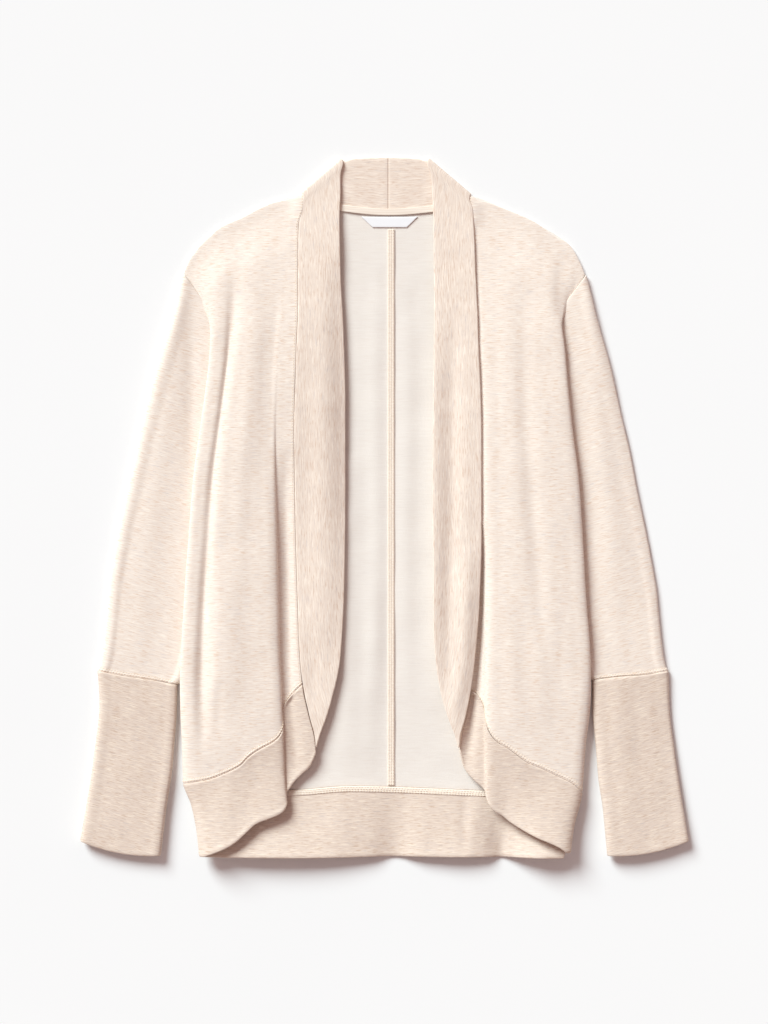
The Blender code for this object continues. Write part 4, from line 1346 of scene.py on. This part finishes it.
class Paint:
    """One material and the nodes that make it."""

    def __init__(self, name):
        self.material = bpy.data.materials.new(name)
        self.material.use_nodes = True
        self.nodes = self.material.node_tree.nodes
        self.links = self.material.node_tree.links
        self.shader = self.nodes["Principled BSDF"]

    def node(self, kind, settings, *values, output=0, **named):
        """A node of this type, with its settings, then its sockets in order or by name."""
        made = self.nodes.new(kind)
        for key, value in settings.items():
            setattr(made, key, value)
        for key, value in list(enumerate(values)) + list(named.items()):
            place = made.inputs[key.replace("_", " ") if isinstance(key, str) else key]
            self.feed(place, value)
        return Value(self, made.outputs[output])

    def feed(self, place, value):
        if isinstance(value, Value):
            self.links.new(value.socket, place)
        elif value is not None:
            place.default_value = value

    def set(self, **values):
        for key, value in values.items():
            self.feed(self.shader.inputs[key.replace("_", " ")], value)

    def stretch(self, places, along, across, shift=0.0):
        """Cloth places scaled so that a pattern is `along` by `across` metres."""
        scaled = self.node(
            "ShaderNodeVectorMath", {"operation": "MULTIPLY"}, places, (1 / along, 1 / across, 1.0)
        )
        return self.node("ShaderNodeVectorMath", {"operation": "ADD"}, scaled, (shift, shift * 1.7, shift))

    def noise(self, places, scale=1.0, detail=2.0, roughness=0.5):
        return self.node(
            "ShaderNodeTexNoise", {"noise_dimensions": "3D"},
            Vector=places, Scale=scale, Detail=detail, Roughness=roughness,
        )

    def band(self, value, low, high):
        """0 below low and 1 above high, with a smooth run between."""
        return self.node(
            "ShaderNodeMapRange", {"interpolation_type": "SMOOTHSTEP"},
            Value=value, From_Min=low, From_Max=high, To_Min=0.0, To_Max=1.0,
        )

    def blend(self, share, first, second):
        """A mix of two colours."""
        other_kinds = [None] * 5
        return self.node(
            "ShaderNodeMix", {"data_type": "RGBA"}, share, *other_kinds, first, second, output=2
        )


def tint(red, green, blue):
    """A colour from 0 to 255 screen levels, as the shader takes it."""
    levels = []
    for level in (red, green, blue):
        part = level / 255
        levels.append(part / 12.92 if part <= 0.04045 else ((part + 0.055) / 1.055) ** 2.4)
    return (*levels, 1.0)


# Yarn colours of each finish: the ground, and the pale, tan and grey fibres spun into it.
Yarn = namedtuple("Yarn", "ground pale tan grey strength")
BODY_YARN = Yarn(tint(240, 226, 214), tint(251, 240, 228), tint(227, 201, 180), tint(213, 204, 202), 1.5)
COLLAR_YARN = Yarn(tint(236, 219, 205), tint(250, 236, 222), tint(219, 193, 174), tint(205, 193, 189), 1.5)
BAND_YARN = Yarn(tint(225, 207, 193), tint(241, 225, 208), tint(206, 180, 160), tint(194, 181, 177), 1.6)
INSIDE_YARN = Yarn(tint(238, 230, 222), tint(245, 239, 232), tint(229, 217, 206), tint(225, 218, 213), 0.5)


def streaks(paint, places, yarn, size):
    """The heather colour: short, thin streaks of pale, tan and grey fibre along the knitted rows."""
    warp = paint.noise(paint.stretch(places, 0.02, 0.006), detail=1.0)
    bent = paint.node("ShaderNodeVectorMath", {"operation": "MULTIPLY_ADD"},
                      paint.node("ShaderNodeCombineXYZ", {}, 0.0, warp, 0.0), (0.0, 0.0012, 0.0), places)
    long_noise = paint.noise(paint.stretch(bent, 0.016 * size, 0.0011 * size), detail=3.0, roughness=0.55)
    tan_noise = paint.noise(paint.stretch(bent, 0.011 * size, 0.0009 * size, 7.0), detail=3.0, roughness=0.6)
    grey_noise = paint.noise(paint.stretch(bent, 0.013 * size, 0.001 * size, 19.0), detail=3.0, roughness=0.6)
    cloud = paint.noise(paint.stretch(places, 0.05, 0.028, 31.0), detail=2.0)
    pale_share = paint.band(long_noise, 0.48, 0.66) * (0.6 * yarn.strength)
    tan_share = paint.band(tan_noise + cloud * 0.12, 0.56, 0.74) * (0.6 * yarn.strength)
    grey_share = paint.band(grey_noise - cloud * 0.12, 0.48, 0.68) * (0.5 * yarn.strength)
    colour = paint.blend(pale_share, yarn.ground, yarn.pale)
    colour = paint.blend(tan_share, colour, yarn.tan)
    colour = paint.blend(grey_share, colour, yarn.grey)
    return colour, long_noise


def cloth_finish(name, yarn, streak_size=1.0):
    """Heather jersey with a smooth knitted face and a brushed inside."""
    paint = Paint(name)
    places = paint.node("ShaderNodeUVMap", {"uv_map": "cloth"})
    inside = paint.node("ShaderNodeAttribute", {"attribute_name": "inside"}, output=2)
    face_colour, face_noise = streaks(paint, places, yarn, streak_size)
    nap_colour, _ = streaks(paint, places, INSIDE_YARN, 1.5)
    wales = paint.noise(paint.stretch(places, 0.0007, 0.0016, 3.0), detail=1.0)
    courses = paint.noise(paint.stretch(places, 0.006, 0.0006, 11.0), detail=1.0)
    tufts = paint.noise(paint.stretch(places, 0.0011, 0.0011, 5.0), detail=3.0, roughness=0.7)
    smooth = wales * 0.4 + courses * 0.4 + face_noise * 0.5
    fleece = tufts * 1.7
    height = smooth + (fleece - smooth) * inside
    normal = paint.node("ShaderNodeBump", {}, Strength=0.45, Distance=0.00035, Height=height)
    paint.set(
        Base_Color=paint.blend(inside, face_colour, nap_colour),
        Roughness=0.86 + inside * 0.08,
        Normal=normal,
        Sheen_Weight=0.12,
        Sheen_Roughness=0.5,
        Specular_IOR_Level=0.18,
    )
    return paint.material


def thread_finish(name, colour, pale):
    """Sewing thread, a little glossier than the cloth."""
    paint = Paint(name)
    spot = paint.node("ShaderNodeTexCoord", {}, output=3)
    tone = paint.noise(spot, scale=900.0, detail=1.0)
    normal = paint.node("ShaderNodeBump", {}, Strength=0.3, Distance=0.0001, Height=tone)
    paint.set(Base_Color=paint.blend(tone, colour, pale), Roughness=0.6, Normal=normal,
              Specular_IOR_Level=0.3)
    return paint.material


def tape_finish(name, colour, pale):
    """A strip covered in fine looped thread, which lies across it in small ladders."""
    paint = Paint(name)
    places = paint.node("ShaderNodeUVMap", {"uv_map": "cloth"})
    rungs = paint.noise(paint.stretch(places, 0.004, 0.0008), detail=1.0)
    tone = paint.noise(paint.stretch(places, 0.0012, 0.004, 9.0), detail=2.0)
    normal = paint.node("ShaderNodeBump", {}, Strength=0.5, Distance=0.0004, Height=rungs + tone * 0.4)
    share = paint.band(rungs * 0.6 + tone * 0.4, 0.35, 0.65)
    paint.set(Base_Color=paint.blend(share, colour, pale), Roughness=0.78, Normal=normal,
              Specular_IOR_Level=0.2)
    return paint.material


def label_finish(name):
    """Close-woven white satin."""
    paint = Paint(name)
    places = paint.node("ShaderNodeUVMap", {"uv_map": "cloth"})
    weave = paint.noise(paint.stretch(places, 0.0012, 0.00035), detail=1.0)
    normal = paint.node("ShaderNodeBump", {}, Strength=0.2, Distance=0.0001, Height=weave)
    paint.set(Base_Color=paint.blend(weave, tint(238, 237, 240), tint(250, 250, 252)),
              Roughness=0.55, Normal=normal, Specular_IOR_Level=0.35)
    return paint.material


def floor_finish():
    paint = Paint("studio_floor_paper")
    spot = paint.node("ShaderNodeTexCoord", {}, output=3)
    grain = paint.noise(spot, scale=3.0, detail=2.0)
    paint.set(Base_Color=paint.blend(grain, tint(243, 243, 243), tint(245, 245, 245)), Roughness=0.9,
              Specular_IOR_Level=0.1)
    return paint.material


BODY_CLOTH = cloth_finish("oatmeal_heather_jersey", BODY_YARN)
COLLAR_CLOTH = cloth_finish("oatmeal_heather_collar", COLLAR_YARN, 1.1)
BAND_CLOTH = cloth_finish("oatmeal_heather_band", BAND_YARN, 0.9)
STITCH_THREAD = thread_finish("pale_yellow_thread", tint(236, 216, 192), tint(248, 232, 210))
TAPE_CLOTH = tape_finish("looped_thread_strip", tint(239, 223, 207), tint(250, 239, 227))
LABEL_CLOTH = label_finish("white_satin")

# The flat cut of what shows of each piece, in metres: its widest width, its longest length and,
# as it is shaped, its area. A tube's is the whole way round.
Cut = namedtuple("Cut", "width length area")


def dress(piece, slot_name, material, *nodes):
    """Finishes a piece, and has it stand for its solids."""
    piece.data.materials.append(material)
    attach(piece, "root")
    if nodes:
        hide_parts(*nodes)
    return piece


pieces = {}
panels = {}
# The stitches and strips that are sewn to each piece.
sewing = {}

# Directions on the floor plan along which knitted rows are stacked: down the body, and down the
# left sleeve.
LEVEL_ROWS = (0.0, -1.0)
SLEEVE_SLANT = (0.24, -0.97)


def add(name, panel, material, slot_name, grain=LEVEL_ROWS, brushed_above=False, folded=False):
    """One panel's shell, standing for the solid of the same name."""
    piece = shell(name + "_cloth", panel, grain, brushed_above, folded)
    panels[name] = panel
    pieces[name] = dress(piece, slot_name, material, name)


# How far each front goes in under the collar.
FRONT_TUCK = {"left": TUCK, "right": under_collar}
# The collar's rows up to and over its shoulder fold.
COLLAR_STILL_ROWS = 52
# How far in from a piece's edge its lines of stitches lie: beside the hem and cuff seams, beside
# the collar's seam, on the strip over the back hem seam, and on the tapes.
SEAM_STITCHES = (4.4, 2.2)
COLLAR_SEAM_STITCHES = 2.3
STRIP_STITCHES = (1.2, 3.2, 5.0)
TAPE_STITCHES = (1.2, 3.5, 5.8)


def sew(name, *runs):
    """Stitches along lines on a piece, joined to it."""
    piece = dress(stitching(name + "_stitches", runs), "seam_tape", STITCH_THREAD)
    sewing.setdefault(name, []).append(piece)


for side in SIDES:
    front = panel_of(
        front_grid(side), HALF, (PLAIN, PRESSED), (PRESSED_NARROW, PLAIN),
        folds=FOLDS["front_" + side], seed=1.0 + SIDES[side], sewn=("end", "first", "start"),
        reach=(SEAM_GAP / 2, HEM_SEAM_GAP, FRONT_TUCK[side], 0.0),
    )
    add("front_" + side, front, BODY_CLOTH, "body_cloth")
    back = panel_of(
        back_grid(side), HALF, (PLAIN, PLAIN), (PLAIN, PLAIN), spacing=(4.0, 3.0),
        folds=FOLDS["back_" + side], seed=4.0 + SIDES[side], sewn=("first",),
        reach=(SEAM_GAP / 2, SEAM_GAP / 2, SEAM_GAP / 2, 0.0),
    )
    add("back_" + side, back, BODY_CLOTH, "back_cloth", brushed_above=True)
    sleeve = panel_of(
        sleeve_rings(side), HALF, (PLAIN, PRESSED), spacing=(4.0, 3.0),
        folds=FOLDS["sleeve_" + side], seed=7.0 + SIDES[side], sewn=("start", "end"),
        reach=(SEAM_GAP, SEAM_GAP, 0.0, 0.0),
    )
    sleeve_grain = (SIDES[side] * SLEEVE_SLANT[0], SLEEVE_SLANT[1])
    add("sleeve_" + side, sleeve, BODY_CLOTH, "body_cloth", grain=sleeve_grain)
    cuff = panel_of(
        cuff_rings(side), HALF_BAND, (PRESSED_BAND, ROLL), spacing=(3.5, 3.0),
        folds=FOLDS["cuff_" + side], seed=10.0 + SIDES[side], sewn=("start",),
        reach=(SEAM_GAP * 1.5, 0.0, 0.0, 0.0),
    )
    add("cuff_" + side, cuff, BAND_CLOTH, "band_cloth", grain=sleeve_grain, folded=True)
    collar = panel_of(
        collar_grid(side), HALF_BAND, (PLAIN_BAND, PLAIN_BAND), (PLAIN_BAND, PLAIN_BAND),
        spacing=(3.5, 2.5), folds=FOLDS["collar_" + side], seed=13.0 + SIDES[side], sewn=("first",),
        reach=(SEAM_GAP / 2, 0.0, SEAM_GAP / 2, 0.0), still=COLLAR_STILL_ROWS,
    )
    add("collar_" + side, collar, COLLAR_CLOTH, "collar_cloth", grain=None, folded=True)
    band = panel_of(
        front_hem_grid(side), HALF_BAND, (PRESSED_BAND, ROLL), (PLAIN_BAND, PLAIN_BAND),
        spacing=(3.0, 2.2), folds=FOLDS["hem_band_front_" + side], seed=16.0 + SIDES[side],
        sewn=("start",), reach=(HEM_SEAM_GAP, 0.0, 0.0, 0.0),
    )
    add("hem_band_front_" + side, band, BAND_CLOTH, "band_cloth", folded=True)

back_band = panel_of(
    back_hem_grid(), HALF_BAND, (PRESSED_BAND, ROLL), (PLAIN_BAND, PLAIN_BAND), spacing=(3.0, 3.0),
    folds=FOLDS["hem_band_back"], seed=19.0, sewn=("start",), reach=(SEAM_GAP / 2, 0.0, 0.0, 0.0),
)
add("hem_band_back", back_band, BAND_CLOTH, "band_cloth", folded=True)
for side in SIDES:
    front, sleeve = panels["front_" + side], panels["sleeve_" + side]
    runs = [line_across(front, inset, False) for inset in SEAM_STITCHES]
    sew("front_" + side, *runs, line_down(front, COLLAR_SEAM_STITCHES))
    top = sleeve.normals[-1, :, 2] > 0.5
    runs = [line_across(sleeve, inset, False) for inset in SEAM_STITCHES]
    sew("sleeve_" + side, *([values[top] for values in run] for run in runs))

# The thread-covered seam that joins the back hem band, on its inner face.
HEM_STRIP_INSETS = (0.3, 1.4, 2.6, 3.8, 5.0, 6.2)
HEM_STRIP_HALF = 0.3
HEM_STRIP_GAP = 0.02
seam_rows = [line_across(back_band, inset) for inset in HEM_STRIP_INSETS]
strip_rows = [face + normals * (HEM_STRIP_HALF + HEM_STRIP_GAP) for face, normals in seam_rows]
hem_strip = panel_of(
    strip_rows, HEM_STRIP_HALF, (finish(HEM_STRIP_HALF),) * 2, (finish(HEM_STRIP_HALF),) * 2,
    spacing=(1.2, 3.0), still=len(strip_rows) * 4,
)
strip_piece = dress(
    shell("back_hem_seam_strip", hem_strip, LEVEL_ROWS), "seam_tape", TAPE_CLOTH
)
sew("hem_band_back", *(line_across(hem_strip, inset) for inset in STRIP_STITCHES))
sewing["hem_band_back"].append(strip_piece)

for name, grid in (
    ("centre_back_seam_tape", seam_tape_grid()),
    ("back_neck_tape", neck_tape_grid()),
    ("neck_label", label_grid()),
):
    plain = (PLAIN_TRIM, PLAIN_TRIM)
    trim = panel_of(grid, HALF_TRIM, plain, plain, spacing=(2.5, 1.5))
    if name == "neck_label":
        add(name, trim, LABEL_CLOTH, "label_cloth")
    else:
        add(name, trim, TAPE_CLOTH, "seam_tape")
        line = line_across if name == "back_neck_tape" else line_down
        sew(name, *(line(trim, inset) for inset in TAPE_STITCHES))

# The floor's name.
FLOOR_NAME = "studio_floor"
# The tapes are narrower than a sheet may be, so each goes with a back half that it is sewn to.
for half, tape in (("back_left", "centre_back_seam_tape"), ("back_right", "back_neck_tape")):
    sewing.setdefault(half, []).extend((pieces[tape], *sewing[tape]))
for side in SIDES:
    back, front = pieces["back_" + side], pieces["front_" + side]

# The camera looks straight down on the middle of the laid garment.
CAMERA_PLACE = (-0.0005, -0.0047, 2.997)
camera_data = bpy.data.cameras.new("camera")
camera_data.lens = 100.0
camera_data.sensor_width = 36.0
camera_data.clip_end = 100.0
camera = bpy.data.objects.new("camera", camera_data)
camera.location = CAMERA_PLACE
bpy.context.scene.collection.objects.link(camera)
bpy.context.scene.camera = camera

# A large pale floor, an even studio sky and one soft key light from the upper left.
FLOOR_HALF = 30.0
FLOOR_DROP = 0.0002
SKY_STRENGTH = 0.39
SKY_COLOUR = (1.0, 0.76, 0.73, 1.0)
KEY_STRENGTH = 4.5
KEY_COLOUR = (0.872, 0.986, 1.0)
KEY_SPREAD = math.radians(29)
KEY_FROM = (-0.515, 0.675, 0.535)

floor_mesh = bpy.data.meshes.new(FLOOR_NAME)
floor_mesh.from_pydata(
    [(x * FLOOR_HALF, y * FLOOR_HALF, -FLOOR_DROP) for x, y in ((-1, -1), (1, -1), (1, 1), (-1, 1))],
    [], [(0, 1, 2, 3)],
)
floor = bpy.data.objects.new(FLOOR_NAME, floor_mesh)
floor_mesh.materials.append(floor_finish())
bpy.context.scene.collection.objects.link(floor)

sky = bpy.data.worlds.new("studio_sky")
sky.use_nodes = True
sky.node_tree.nodes["Background"].inputs["Color"].default_value = SKY_COLOUR
sky.node_tree.nodes["Background"].inputs["Strength"].default_value = SKY_STRENGTH
bpy.context.scene.world = sky
key_data = bpy.data.lights.new("key_light", "SUN")
key_data.energy = KEY_STRENGTH
key_data.color = KEY_COLOUR
key_data.angle = KEY_SPREAD
key = bpy.data.objects.new("key_light", key_data)
key.rotation_mode = "QUATERNION"
key.rotation_quaternion = Vector(KEY_FROM).to_track_quat("Z", "Y")
bpy.context.scene.collection.objects.link(key)
bpy.context.scene.view_settings.view_transform = "Standard"
